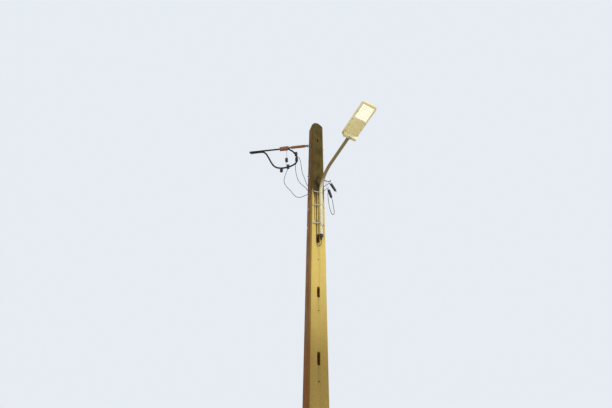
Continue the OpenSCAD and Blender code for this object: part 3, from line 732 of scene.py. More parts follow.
@dataclass(frozen=True)
class Studio:
    """The plain floor, the soft light and the camera of the photograph."""

    floor_half: float = 90.0
    floor_colour: Rgb = (0.78, 0.79, 0.80)
    eye: Point = (-1.922, -5.285, 1.6)
    heading: float = 18.1535
    pitch: float = 40.7818
    roll: float = 1.2102
    lens: float = 23.841
    sensor: float = 36.0
    sight: float = 200.0
    soft: float = 0.42
    background: Rgb = (0.80, 0.84, 0.90)
    suns: tuple[Sun, ...] = (
        Sun("key", (0.55, -0.95, 0.42), 2.0, 16.0),
        Sun("fill", (-0.9, -0.5, 0.25), 0.55, 40.0),
        Sun("rim", (-0.2, 1.0, 0.6), 0.8, 25.0),
    )

    def light(self) -> None:
        """Sets the world and the suns."""
        world = bpy.data.worlds.new("studio")
        bpy.context.scene.world = world
        world.use_nodes = True
        g = Graph(world.node_tree)
        paths = g.add("LightPath").outputs
        seen = g.sum(Sum.MOST, *(paths[f"Is {kind} Ray"] for kind in ("Camera", "Glossy", "Transmission")))
        soft = g.add("Background", Color=(1.0, 1.0, 1.0), Strength=self.soft)
        shown = g.add("Background", Color=self.background, Strength=1.0)
        pick = g.add("MixShader")
        for socket, value in zip(pick.inputs, (seen, soft.outputs[0], shown.outputs[0])):
            g.feed(socket, value)
        g.add("OutputWorld", Surface=pick.outputs[0])
        for sun in self.suns:
            sun.build()

    def floor(self) -> None:
        """Lays the pale floor."""
        bpy.ops.object.select_all(action="DESELECT")
        bpy.ops.mesh.primitive_plane_add(size=2 * self.floor_half)
        ground = bpy.context.object
        ground.name = "floor"
        ground.data.materials.append(Finish("floor_pale").surface(self.floor_colour, 0.9))

    def camera(self) -> None:
        """Sets the camera where the photograph was taken from."""
        h, p, r = (math.radians(a) for a in (self.heading, self.pitch, self.roll))
        ahead = Vector((math.sin(h), math.cos(h), 0.0))
        right = Vector((math.cos(h), -math.sin(h), 0.0))
        look = ahead * math.cos(p) + Vector((0.0, 0.0, math.sin(p)))
        up = right.cross(look)
        side = right * math.cos(r) + up * math.sin(r)
        top = up * math.cos(r) - right * math.sin(r)
        data = bpy.data.cameras.new("camera")
        data.lens = self.lens
        data.sensor_width = self.sensor
        data.sensor_fit = "HORIZONTAL"
        data.clip_end = self.sight
        view = added("camera", data)
        view.matrix_world = Matrix.Translation(self.eye) @ Matrix((side, top, -look)).transposed().to_4x4()
        bpy.context.scene.camera = view

    def build(self) -> None:
        """Sets up floor, light and camera."""
        self.floor()
        self.light()
        self.camera()
        bpy.context.scene.view_settings.view_transform = "Standard"


def shift(x: float = 0.0, y: float = 0.0, z: float = 0.0) -> Matrix:
    """A move by x, y and z."""
    return Matrix.Translation((x, y, z))


def turn(degrees: float, axis: str) -> Matrix:
    """A turn about an axis through the origin."""
    return Matrix.Rotation(math.radians(degrees), 4, axis)


def quarter(steps: int) -> list[Pair]:
    """The run and the rise along a quarter of a circle of radius 1."""
    angles = [math.radians(90 * i / steps) for i in range(steps + 1)]
    return [(math.sin(angle), 1 - math.cos(angle)) for angle in angles]


def moved(profile: Iterable[Pair], along_x: float = 0.0, out: float = 0.0) -> list[Pair]:
    """A profile moved along X and outwards."""
    return [(along_x + x, out + r) for x, r in profile]


def length_of(line: Sequence[Vector]) -> float:
    """The length of a line of points."""
    return sum((b - a).length for a, b in zip(line, line[1:]))


def along(points: Sequence[Vector], step: float) -> list[Vector]:
    """A smooth line through points, in even steps.

    Args:
        points: The points that it goes through.
        step: The distance between the new points.

    Returns:
        The new points, the first and last of them the given ones.
    """
    line = [2 * points[0] - points[1], *points, 2 * points[-1] - points[-2]]
    dense = [line[1]]
    for a, b, c, d in zip(line, line[1:], line[2:], line[3:]):
        t1 = math.sqrt((b - a).length)
        t2 = t1 + math.sqrt((c - b).length)
        t3 = t2 + math.sqrt((d - c).length)
        pieces = max(2, math.ceil((c - b).length / (0.5 * step)))
        for i in range(1, pieces + 1):
            t = t1 + (t2 - t1) * i / pieces
            ab = a.lerp(b, t / t1)
            bc = b.lerp(c, (t - t1) / (t2 - t1))
            cd = c.lerp(d, (t - t2) / (t3 - t2))
            abc = ab.lerp(bc, t / t2)
            bcd = bc.lerp(cd, (t - t1) / (t3 - t1))
            dense.append(abc.lerp(bcd, (t - t1) / (t2 - t1)))
    total = length_of(dense)
    count = max(2, round(total / step))
    even, walked, here = [dense[0]], 0.0, 0
    for i in range(1, count):
        goal = total * i / count
        while walked + (dense[here + 1] - dense[here]).length < goal:
            walked += (dense[here + 1] - dense[here]).length
            here += 1
        side = dense[here + 1] - dense[here]
        even.append(dense[here] + side * ((goal - walked) / side.length))
    return [*even, dense[-1]]


def twisted(line: Sequence[Vector], off: float, lay: float, count: int, start: float) -> list[list[Vector]]:
    """Strands laid in a helix round a line.

    Args:
        line: The line, in even steps.
        off: How far a strand's middle is from the line.
        lay: The length of one full turn.
        count: How many strands.
        start: The angle of the first strand where the line starts, in degrees.

    Returns:
        One line of points for each strand.
    """
    last = len(line) - 1
    ways = [(line[min(i + 1, last)] - line[max(i - 1, 0)]).normalized() for i in range(last + 1)]
    side = ways[0].orthogonal().normalized()
    strands: list[list[Vector]] = [[] for _ in range(count)]
    walked = 0.0
    for i, (place, way) in enumerate(zip(line, ways)):
        walked += (place - line[i - 1]).length if i else 0.0
        side = (side - side.dot(way) * way).normalized()
        other = way.cross(side)
        for k, strand in enumerate(strands):
            angle = math.radians(start) + 2 * math.pi * (k / count + walked / lay)
            strand.append(place + off * (math.cos(angle) * side + math.sin(angle) * other))
    return strands


class Bench:
    """A mesh that is modelled with Blender's own operators, in a frame of its own.

    Points nearer than JOIN or WELD are merged, faces within FLAT degrees are one, and a face or an edge
    looks or runs along a way where the cosine between them is above LOOKS.
    """

    JOIN = 0.00001
    WELD = 0.00002
    FLAT = 0.8
    LOOKS = 0.9
    BAR_SIDES = 14

    def __init__(self, piece: bpy.types.Object) -> None:
        """Takes up an object.

        Args:
            piece: The object, whose place is all in its mesh.
        """
        self.piece = piece

    @staticmethod
    def clear() -> None:
        """Deselects everything."""
        bpy.ops.object.select_all(action="DESELECT")

    @staticmethod
    def leave() -> None:
        """Leaves edit mode."""
        bpy.ops.object.mode_set(mode="OBJECT")

    @staticmethod
    def extrude(move: Sequence[float]) -> None:
        """Extrudes what is selected."""
        bpy.ops.mesh.extrude_region_move(TRANSFORM_OT_translate={"value": move})

    @staticmethod
    def open_up() -> None:
        """Goes into edit mode with every point selected."""
        bpy.ops.object.mode_set(mode="EDIT")
        bpy.ops.mesh.select_mode(type="VERT")
        bpy.ops.mesh.select_all(action="SELECT")

    @classmethod
    def settled(cls) -> "Bench":
        """Takes up the primitive just added, with its place put in its mesh."""
        bpy.ops.object.transform_apply(location=True, rotation=True, scale=True)
        return cls(bpy.context.object)

    @classmethod
    def block(cls, size: Point, at: Point = (0.0, 0.0, 0.0)) -> "Bench":
        """A block with its middle at a place.

        Args:
            size: Its sides along X, Y and Z.
            at: Its middle.

        Returns:
            The bench with the block on it.
        """
        cls.clear()
        bpy.ops.mesh.primitive_cube_add(size=1.0, location=at)
        bpy.context.object.scale = size
        return cls.settled()

    @classmethod
    def rib(cls, size: Point, at: Point, move: Point, narrow: Point, edge: float, steps: int = 2) -> "Bench":
        """A block with one face drawn out and narrowed, and its edges rounded.

        Args:
            size: The block's sides along X, Y and Z.
            at: The block's middle.
            move: How far the face goes.
            narrow: How the face's outline scales.
            edge: The width of the rounding.
            steps: The steps of the rounding.

        Returns:
            The bench with the rib on it.
        """
        return cls.block(size, at).draw_out(move, narrow).round_off(edge, steps)

    @classmethod
    def hoop(cls, radius: float, height: float, sides: int, filled: bool = False) -> "Bench":
        """A circle about Z, in edit mode with its points selected.

        Args:
            radius: Its radius.
            height: Its place along Z.
            sides: Its sides.
            filled: True for a disc.

        Returns:
            The bench with the circle on it.
        """
        cls.clear()
        bpy.ops.mesh.primitive_circle_add(vertices=sides, radius=radius, location=(0.0, 0.0, height),
                                          fill_type="NGON" if filled else "NOTHING")
        bench = cls.settled()
        bench.open_up()
        return bench

    @classmethod
    def turned(cls, profile: Sequence[Pair], sides: int = 32, hollow: bool = False) -> "Bench":
        """A shape turned about X, drawn out ring by ring.

        Args:
            profile: Pairs of the place along X and the radius there.
            sides: Sides of a ring.
            hollow: True where the profile closes on itself round a bore.

        Returns:
            The bench with the shape on it.
        """
        start, wide = profile[0]
        bench = cls.hoop(wide, start, sides, not hollow)
        for place, radius in [*profile[1:], *([profile[0]] if hollow else [])]:
            cls.extrude((0.0, 0.0, place - start))
            share = radius / wide
            bpy.ops.transform.resize(value=(share, share, 1.0), center_override=(0.0, 0.0, place))
            start, wide = place, radius
        return bench.mended().put(turn(90, "Y"))

    @classmethod
    def pin(cls, start: float, end: float, radius: float, sides: int) -> "Bench":
        """A straight bar along X."""
        return cls.turned([(start, radius), (end, radius)], sides)

    @classmethod
    def ring(cls, radius: float, bar: float, sides: int = 40) -> "Bench":
        """A ring of round bar about Z.

        Args:
            radius: Its radius at the middle of the bar.
            bar: The bar's diameter.
            sides: Steps round the ring.

        Returns:
            The bench with the ring on it.
        """
        cls.clear()
        bpy.ops.mesh.primitive_torus_add(major_radius=radius, minor_radius=bar / 2, major_segments=sides,
                                         minor_segments=cls.BAR_SIDES)
        return cls.settled()

    @classmethod
    def rod(cls, lines: Sequence[Sequence[Vector]], radius: float, sides: int = 12) -> "Bench":
        """Round bars along lines of points.

        Args:
            lines: One line of points for each bar.
            radius: The radius of each bar.
            sides: Sides of a bar.

        Returns:
            The bench with the bars on it.
        """
        bench = cls(cord_curve("rod", lines, radius, sides))
        bench.take_up()
        bpy.ops.object.convert(target="MESH")
        return bench

    @classmethod
    def node(cls, node: bpy.types.Object) -> "Bench":
        """A merged copy of a solid model's node, with its flat faces whole.

        Args:
            node: The node.

        Returns:
            The bench with the copy on it.
        """
        bench = cls(added(node.name + "_copy", node.data.copy()))
        bench.piece.data.materials.clear()
        bench.take_up()
        bench.open_up()
        bpy.ops.mesh.remove_doubles(threshold=cls.WELD)
        bpy.ops.mesh.dissolve_limited(angle_limit=math.radians(cls.FLAT))
        bench.leave()
        return bench

    def take_up(self) -> None:
        """Makes this piece the only one selected."""
        self.clear()
        self.piece.select_set(True)
        bpy.context.view_layer.objects.active = self.piece

    def mended(self) -> "Bench":
        """Merges doubles, turns the faces outwards and leaves edit mode.

        Returns:
            This bench.
        """
        bpy.ops.mesh.select_all(action="SELECT")
        bpy.ops.mesh.remove_doubles(threshold=self.JOIN)
        bpy.ops.mesh.normals_make_consistent(inside=False)
        self.leave()
        return self

    def pick(self, test: Test, edges: bool = False) -> None:
        """Goes into edit mode with only the faces or edges selected that pass a test.

        Args:
            test: Says of a face or an edge whether it is meant.
            edges: True to choose edges.
        """
        self.take_up()
        bpy.ops.object.mode_set(mode="EDIT")
        bpy.ops.mesh.select_mode(type="EDGE" if edges else "FACE")
        bpy.ops.mesh.select_all(action="DESELECT")
        mesh = bmesh.from_edit_mesh(self.piece.data)
        for part in [p for p in (mesh.edges if edges else mesh.faces) if test(p)]:
            part.select_set(True)
        bmesh.update_edit_mesh(self.piece.data)

    def pull(self, test: Test, move: Point) -> None:
        """Extrudes the faces that pass a test.

        Args:
            test: Says of a face whether it is meant.
            move: How far they go.
        """
        self.pick(test)
        self.extrude(move)
        self.leave()

    def draw_out(self, move: Point, narrow: Point = (1.0, 1.0, 1.0)) -> "Bench":
        """Extrudes the faces that look about the way that they are moved.

        Args:
            move: How far they go.
            narrow: How their outline scales at the end.

        Returns:
            This bench.
        """
        way = Vector(move).normalized()
        self.pick(lambda f: f.normal.dot(way) > 0.8)
        self.extrude(move)
        spots = [v.co for v in bmesh.from_edit_mesh(self.piece.data).verts if v.select]
        middle = sum(spots, Vector()) / max(1, len(spots))
        bpy.ops.transform.resize(value=narrow, center_override=middle)
        self.leave()
        return self

    def panel(self, rim: float, depth: float) -> "Bench":
        """Sinks a panel inside a rim in the faces that look down.

        Args:
            rim: The width of the rim.
            depth: How far the panel goes in.

        Returns:
            This bench.
        """
        self.pick(lambda f: f.normal.z < -self.LOOKS)
        bpy.ops.mesh.inset(thickness=rim, use_even_offset=True)
        bpy.ops.mesh.inset(thickness=depth * 0.4, depth=-depth, use_even_offset=True)
        self.leave()
        return self

    def chamfer(self, axis: int, width: float, steps: int) -> "Bench":
        """Rounds the edges that run along one axis.

        Args:
            axis: 0, 1 or 2 for X, Y or Z.
            width: The width of the rounding.
            steps: Its steps.

        Returns:
            This bench.
        """
        self.pick(lambda e: abs((e.verts[0].co - e.verts[1].co).normalized()[axis]) > self.LOOKS, edges=True)
        bpy.ops.mesh.bevel(offset=width, segments=steps, profile=0.5)
        self.leave()
        return self

    def groove(self, height: float, wide: float, deep: float) -> "Bench":
        """Sinks a groove round the sides at a height.

        Args:
            height: The height of its middle.
            wide: Its width.
            deep: Its depth.

        Returns:
            This bench.
        """
        for edge in (height - wide / 2, height + wide / 2):
            self.pick(lambda face: True)
            bpy.ops.mesh.bisect(plane_co=(0.0, 0.0, edge), plane_no=(0.0, 0.0, 1.0))
            self.leave()
        self.pick(lambda f: abs(f.calc_center_median().z - height) < 0.45 * wide and abs(f.normal.z) < 0.6)
        bpy.ops.mesh.extrude_region_shrink_fatten(TRANSFORM_OT_shrink_fatten={"value": -deep})
        self.leave()
        return self

    def modify(self, kind: str, **settings: object) -> "Bench":
        """Adds a modifier and applies it.

        Args:
            kind: The kind of modifier.
            **settings: Its settings.

        Returns:
            This bench.
        """
        self.take_up()
        bpy.ops.object.modifier_add(type=kind)
        modifier = self.piece.modifiers[-1]
        for name, value in settings.items():
            setattr(modifier, name, value)
        bpy.ops.object.modifier_apply(modifier=modifier.name)
        return self

    def round_off(self, width: float, steps: int = 2, angle: float = 32.0) -> "Bench":
        """Rounds every edge that is sharper than an angle.

        Args:
            width: The width of the rounding.
            steps: Its steps.
            angle: The angle, in degrees.

        Returns:
            This bench.
        """
        return self.modify("BEVEL", width=width, segments=steps, limit_method="ANGLE",
                           angle_limit=math.radians(angle), use_clamp_overlap=True, harden_normals=False)

    def cut(self, tool: "Bench", leaves: Cut = Cut.OUTSIDE) -> "Bench":
        """Cuts this shape with another one.

        Args:
            tool: The other shape, which is used up.
            leaves: What is left of this one.

        Returns:
            This bench.
        """
        self.modify("BOOLEAN", operation=leaves.value, object=tool.piece, solver="EXACT")
        tool.scrap()
        return self

    def scrap(self) -> None:
        """Removes the piece."""
        bpy.data.objects.remove(self.piece, do_unlink=True)

    def put(self, place: Matrix) -> "Bench":
        """Moves the mesh.

        Args:
            place: The move, which may mirror it too.

        Returns:
            This bench.
        """
        self.piece.data.transform(place)
        if place.determinant() < 0:
            self.piece.data.flip_normals()
        return self

    def copy(self, place: Matrix) -> "Bench":
        """A copy with its own mesh, moved."""
        return Bench(added(self.piece.name, self.piece.data.copy())).put(place)

    def spread(self, places: Iterable[Matrix]) -> "Bench":
        """Copies this shape to some places and joins the copies.

        Args:
            places: The places.

        Returns:
            The bench with the copies on it. This one is used up.
        """
        copies = [self.copy(place) for place in places]
        self.scrap()
        return copies[0].with_all(copies[1:])

    def with_all(self, others: Iterable["Bench"]) -> "Bench":
        """Joins other shapes to this one.

        Args:
            others: The other shapes.

        Returns:
            This bench.
        """
        self.take_up()
        for other in others:
            other.piece.select_set(True)
        bpy.ops.object.join()
        return self

    def done(self, name: str, coat: Coat, replaces: Sequence[str] = (),
             smooth: float = 35.0) -> bpy.types.Object:
        """Names, smooths, paints and mounts the finished piece.

        Args:
            name: Its name.
            coat: Its finish.
            replaces: The solid model's nodes that it stands for.
            smooth: Edges sharper than this stay sharp, in degrees.

        Returns:
            The piece.
        """
        self.take_up()
        bpy.ops.object.shade_smooth_by_angle(angle=math.radians(smooth))
        return mounted(self.piece, name, coat, replaces)


def cord_curve(name: str, lines: Sequence[Sequence[Vector]], radius: float,
               sides: int = 12) -> bpy.types.Object:
    """A curve with a round section.

    Args:
        name: The object's name.
        lines: One line of points for each spline.
        radius: The section's radius.
        sides: The section's sides.

    Returns:
        The curve object.
    """
    data = bpy.data.curves.new(name, "CURVE")
    data.dimensions = "3D"
    data.bevel_depth = radius
    data.bevel_resolution = (sides - 4) // 2
    data.use_fill_caps = True
    for line in lines:
        spline = data.splines.new("POLY")
        spline.points.add(len(line) - 1)
        for point, place in zip(spline.points, line):
            point.co = (*place, 1.0)
    return added(name, data)


def mounted(piece: bpy.types.Object, name: str, coat: Coat, replaces: Sequence[str] = ()) -> bpy.types.Object:
    """Paints a finished piece and fixes it to the pole.

    Args:
        piece: The piece.
        name: Its name.
        coat: Its finish.
        replaces: The solid model's nodes that it stands for.

    Returns:
        The piece.
    """
    piece.name = name
    piece.data.materials.clear()
    piece.data.materials.append(coat.material)
    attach(piece, BODY)
    if replaces:
        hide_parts(*replaces)
    LOG.info("made %s", name)
    return piece


def hex_head(across: float, high: float, washer: float = 0.0) -> Bench:
    """A bolt head or nut along X from zero, with its corners turned off.

    Args:
        across: The size across its corners.
        high: Its height.
        washer: The radius of a washer face under it, or 0.

    Returns:
        The bench with the head on it.
    """
    head = Bench.pin(0.0, high, across / 2, 6)
    shaped = Bench.turned([(-0.0001, across * 0.40), (high * 0.12, across * 0.51),
                           (high * 0.84, across * 0.51), (high * 1.001, across * 0.42)], 36)
    head.cut(shaped, Cut.INSIDE).round_off(across * 0.012)
    if washer:
        head.with_all([Bench.turned([(-0.0018, washer * 0.96), (-0.0014, washer), (-0.0004, washer),
                                     (0.0, washer * 0.97)])])
    return head


def threaded(start: float, end: float, radius: float) -> Bench:
    """A rod along X with a ridge for each turn of its thread.

    Args:
        start: Where it starts.
        end: Where it ends.
        radius: Its outer radius.

    Returns:
        The bench with the rod on it.
    """
    profile = [(start, radius * 0.80), (start + 0.4 * PITCH, radius * 0.90)]
    for i in range(int((end - start) / PITCH) - 1):
        x = start + (i + 0.7) * PITCH
        profile += [(x, radius * 0.89), (x + 0.40 * PITCH, radius), (x + 0.55 * PITCH, radius)]
    profile += [(end - 0.4 * PITCH, radius * 0.90), (end, radius * 0.80)]
    return Bench.turned(profile, 24)


def wire_bail(leg: float, wide: float, bar: float, gap: float) -> Bench:
    """A bent bail whose middle lies across the origin, with legs along +X and pegs turned in.

    Args:
        leg: From its middle to the pegs.
        wide: The width of the housing that it holds.
        bar: The bar's diameter.
        gap: Its clearance.

    Returns:
        The bench with the bail on it.
    """
    bend, peg, side = 1.6 * bar, 0.7 * bar, wide / 2 + gap + bar / 2
    half = [Vector((bend * rise, side - bend + bend * run, 0.0)) for run, rise in quarter(8)]
    half += [Vector((leg - peg + peg * run, side - peg * rise, 0.0)) for run, rise in quarter(5)]
    half.append(Vector((leg, side - bar / 2 - gap - 0.004, 0.0)))
    other = [Vector((p.x, -p.y, 0.0)) for p in reversed(half)]
    return Bench.rod([[*other, Vector(), *half]], bar / 2, Bench.BAR_SIDES)


@dataclass(frozen=True)
class Layout:
    """Where the assemblies stand, from the same driving sizes as the solid model."""

    pole_h: float = 8.750
    pole_w_foot: float = 0.324
    pole_w_head: float = 0.240
    pole_d_foot: float = 0.246
    pole_d_head: float = 0.226
    gap: float = 0.0003
    arm_d: float = 0.060
    arm_x: float = 0.045
    arm_low: float = 5.670
    arm_bend_z: float = 6.627
    arm_bend_r: float = 0.450
    arm_rise: float = 10.0
    arm_swing: float = 10.0
    arm_straight: float = 0.567
    eye_z: float = 7.985
    eye_r: float = 0.027
    eye_bar: float = 0.015
    washer_t: float = 0.005
    nut_t: float = 0.013
    thread_past: float = 0.026
    bolt_d: float = 0.016
    span_turn: float = 154.0
    span_dip: float = 2.0
    hook_z: float = 7.110
    drop_turn: float = 12.0
    drop_bail_d: float = 0.005

    def width(self, z: float) -> float:
        """The pole's width at a height."""
        return self.pole_w_foot + (self.pole_w_head - self.pole_w_foot) * z / self.pole_h

    def depth(self, z: float) -> float:
        """The pole's depth at a height."""
        return self.pole_d_foot + (self.pole_d_head - self.pole_d_foot) * z / self.pole_h

    def nut_from(self, z: float) -> float:
        """Where a nut starts beside the pole at a height, past its washer."""
        return self.width(z) / 2 + 2 * self.gap + self.washer_t

    @property
    def arm_y(self) -> float:
        """The arm's middle in front of the pole's axis."""
        return -self.depth(self.arm_low) / 2 - self.gap - self.arm_d / 2

    @property
    def arm(self) -> Matrix:
        """The arm's frame, with the tube going up Z and out over -Y."""
        return shift(self.arm_x, self.arm_y) @ turn(self.arm_swing, "Z")

    @property
    def lamp(self) -> Matrix:
        """The lamp's frame, with its back at the origin and its tip over -Y.

        Returns:
            The frame.
        """
        bend = math.radians(90.0 - self.arm_rise)
        out = self.arm_bend_r * (1 - math.cos(bend)) + self.arm_straight * math.sin(bend)
        up = self.arm_bend_z + self.arm_bend_r * math.sin(bend) + self.arm_straight * math.cos(bend)
        return self.arm @ shift(0.0, -out, up) @ turn(-self.arm_rise, "X")

    @property
    def eye_middle(self) -> float:
        """The middle of the eye bolt's eye along X."""
        return -self.width(self.eye_z) / 2 - self.gap - self.washer_t - self.eye_r - self.eye_bar / 2

    @property
    def pull_from(self) -> Vector:
        """The outer bar of the eye, which the anchor hardware pulls on."""
        return Vector((self.eye_middle - self.eye_r, 0.0, self.eye_z))

    @property
    def span(self) -> Matrix:
        """The anchor hardware's frame, with +X out along the bundle."""
        return Matrix.Translation(self.pull_from) @ turn(self.span_turn, "Z") @ turn(self.span_dip, "Y")

    def span_point(self, out: float, z: float, side: float) -> Vector:
        """A point of the upright plane of the bundle, or beside it."""
        across = turn(self.span_turn, "Z") @ Vector((out, side, 0.0))
        return Vector((self.pull_from.x + across.x, across.y, z))

    def span_line(self, points: Sequence[Point]) -> list[Vector]:
        """A route given in that plane."""
        return [self.span_point(*point) for point in points]

    def pull_point(self, out: float, drop: float) -> Vector:
        """A point on the line of the anchor hardware, or below it."""
        return self.span @ Vector((out, 0.0, -drop))

    def drop(self, at: float, dip: float) -> Matrix:
        """The frame of a drop clamp, with +X along its lead."""
        top = self.hook_z + self.bolt_d / 2 + self.gap + self.drop_bail_d / 2
        return shift(at, 0.0, top) @ turn(self.drop_turn, "Z") @ turn(dip, "Y")


@dataclass
class Assembly:
    """A group of pieces, with what every group needs."""

    nodes: Nodes
    palette: Palette
    layout: Layout

    def softened(self, node: str, name: str, coat: Coat, edge: float, steps: int = 2, angle: float = 32.0,
                 smooth: float = 35.0) -> None:
        """Finishes a node of the solid model with its edges rounded.

        Args:
            node: The node.
            name: The piece's name.
            coat: Its finish.
            edge: The width of the rounding.
            steps: The steps of the rounding.
            angle: Edges sharper than this are rounded, in degrees.
            smooth: Edges sharper than this stay sharp, in degrees.
        """
        Bench.node(self.nodes[node]).round_off(edge, steps, angle).done(name, coat, [node], smooth)


@dataclass
class ConcretePole(Assembly):
    """The slotted pole, with its arrises and slot rims worn round."""

    arris: float = 0.007

    def build(self) -> None:
        """Makes the pole."""
        self.softened("pole_shaft", "pole_body", self.palette.concrete, self.arris, 3, 28.0)


@dataclass
class LampArm(Assembly):
    """The bent tube, its straps with their buckles, and the boot at its foot."""

    wall: float = 0.0035
    insert: float = 0.092
    tube_sides: int = 48
    bend_steps: int = 28
    strap_places: tuple[Pair, ...] = ((5.905, 0.0), (6.308, 0.0), (6.612, 19.0))
    strap_h: float = 0.020
    strap_t: float = 0.0015
    buckle_l: float = 0.042
    buckle_t: float = 0.0018
    ear_out: float = 0.0042
    boot_l: float = 0.112
    boot_ribs: int = 7
    boot_rib: tuple[Pair, ...] = ((0.0, 0.0), (0.0014, 0.0022), (0.0044, 0.0026), (0.0060, 0.0006))
    boot_neck: tuple[Pair, ...] = ((-0.040, -0.0062), (-0.026, -0.0036), (-0.010, -0.0012),
                                   (-0.0016, -0.0010))
    plug_l: float = 0.022
    lead_d: float = 0.010
    spout_x: float = 0.0345
    spout: tuple[Pair, ...] = (
        (-0.040, 0.0030), (-0.0385, 0.0052), (-0.030, 0.0065), (-0.018, 0.0062), (-0.016, 0.0072),
        (-0.013, 0.0072), (-0.012, 0.0060), (-0.012, 0.0028), (-0.020, 0.0028), (-0.020, 0.0010),
    )

    def tube(self) -> None:
        """Draws the tube out along its bend."""
        at = self.layout
        bend = 90.0 - at.arm_rise
        bench = Bench.hoop(at.arm_d / 2, at.arm_low, self.tube_sides)
        bench.extrude((0.0, 0.0, at.arm_bend_z - at.arm_low))
        bpy.ops.mesh.spin(steps=self.bend_steps, angle=-math.radians(bend), axis=(1.0, 0.0, 0.0),
                          center=(0.0, -at.arm_bend_r, at.arm_bend_z))
        bench.extrude(turn(bend, "X") @ Vector((0.0, 0.0, at.arm_straight + self.insert)))
        bench.mended().modify("SOLIDIFY", thickness=self.wall, offset=-1.0, use_rim=True)
        bench.round_off(0.0008, 2, 60.0)
        bench.put(at.arm).done("arm_tube", self.palette.arm, ["lamp_arm"])

    def buckle(self) -> Bench:
        """One band buckle with its ears folded over and the band's end turned back.

        Returns:
            The bench with the buckle on it.
        """
        tall = self.strap_h + 0.006
        plate = Bench.block((self.buckle_t, self.buckle_l, tall), (self.buckle_t / 2, 0.0, 0.0))
        for s in SIDES:
            plate.pull(lambda f, s=s: f.normal.z * s > 0.9, (0.0, 0.0, 0.0012 * s))
            plate.pull(lambda f, s=s: f.normal.x > 0.9 and f.calc_center_median().z * s > tall / 2,
                       (self.ear_out, 0.0, 0.0))
            plate.pick(lambda f, s=s: f.normal.z * s < -0.9 and f.calc_center_median().x > 0.003)
            bpy.ops.mesh.inset(thickness=0.0011, use_even_offset=True)
            plate.extrude((0.0006, 0.0, -0.0045 * s))
            plate.leave()
        tail = Bench.block((0.0010, 0.030, self.strap_h - 0.001), (0.0036, 0.004, 0.0))
        tail.pick(lambda f: f.normal.y > 0.9)
        bpy.ops.mesh.spin(steps=6, angle=math.radians(-70), center=(0.0080, 0.019, 0.0), axis=(0.0, 0.0, 1.0))
        tail.mended().round_off(0.0002, 1)
        return plate.round_off(0.0004).with_all([tail])

    def straps(self) -> None:
        """Makes the three bands and their buckles."""
        for place in ("lower", "middle", "upper"):
            self.softened(f"strap_{place}", f"band_{place}", self.palette.band, 0.0004, 2, 50.0, 40.0)
        spots = []
        for z, tilt in self.strap_places:
            out = self.layout.width(z) / 2 + 2 * self.layout.gap + self.strap_t
            spots.append(shift(out, z=z - math.tan(math.radians(tilt)) * out))
        self.buckle().spread(spots).done("band_buckles", self.palette.band, ["strap_buckles"])

    def boot(self) -> None:
        """Makes the ribbed rubber boot with its side spout."""
        at = self.layout
        r, bore, foot = at.arm_d / 2, self.lead_d / 2 + at.gap, -self.boot_l
        plug = r - self.wall - at.gap
        profile = [(foot, bore), (foot, bore + 0.003), (foot + 0.004, bore + 0.004)]
        for i in range(self.boot_ribs):
            wide = bore + 0.0048 + (r - 0.0125 - bore) * i / self.boot_ribs
            profile += moved(self.boot_rib, foot + 0.008 + i * 0.0085, wide)
        profile += moved(self.boot_neck, out=r)
        profile += [(-at.gap, r - 0.0022), (-at.gap, plug), (self.plug_l, plug), (self.plug_l, bore)]
        boot = Bench.turned(profile, 40, hollow=True).put(turn(-90, "Y"))
        spout = Bench.turned(self.spout, 24).put(shift(self.spout_x) @ turn(-90, "Y"))
        web = Bench.block((0.014, 0.008, 0.026), (self.spout_x - 0.011, 0.0, -0.026)).round_off(0.0015, 3)
        boot.with_all([spout, web]).put(shift(at.arm_x, at.arm_y, at.arm_low))
        boot.done("cable_boot", self.palette.black, ["arm_boot"])

    def build(self) -> None:
        """Makes the tube, the straps and the boot."""
        self.tube()
        self.straps()
        self.boot()


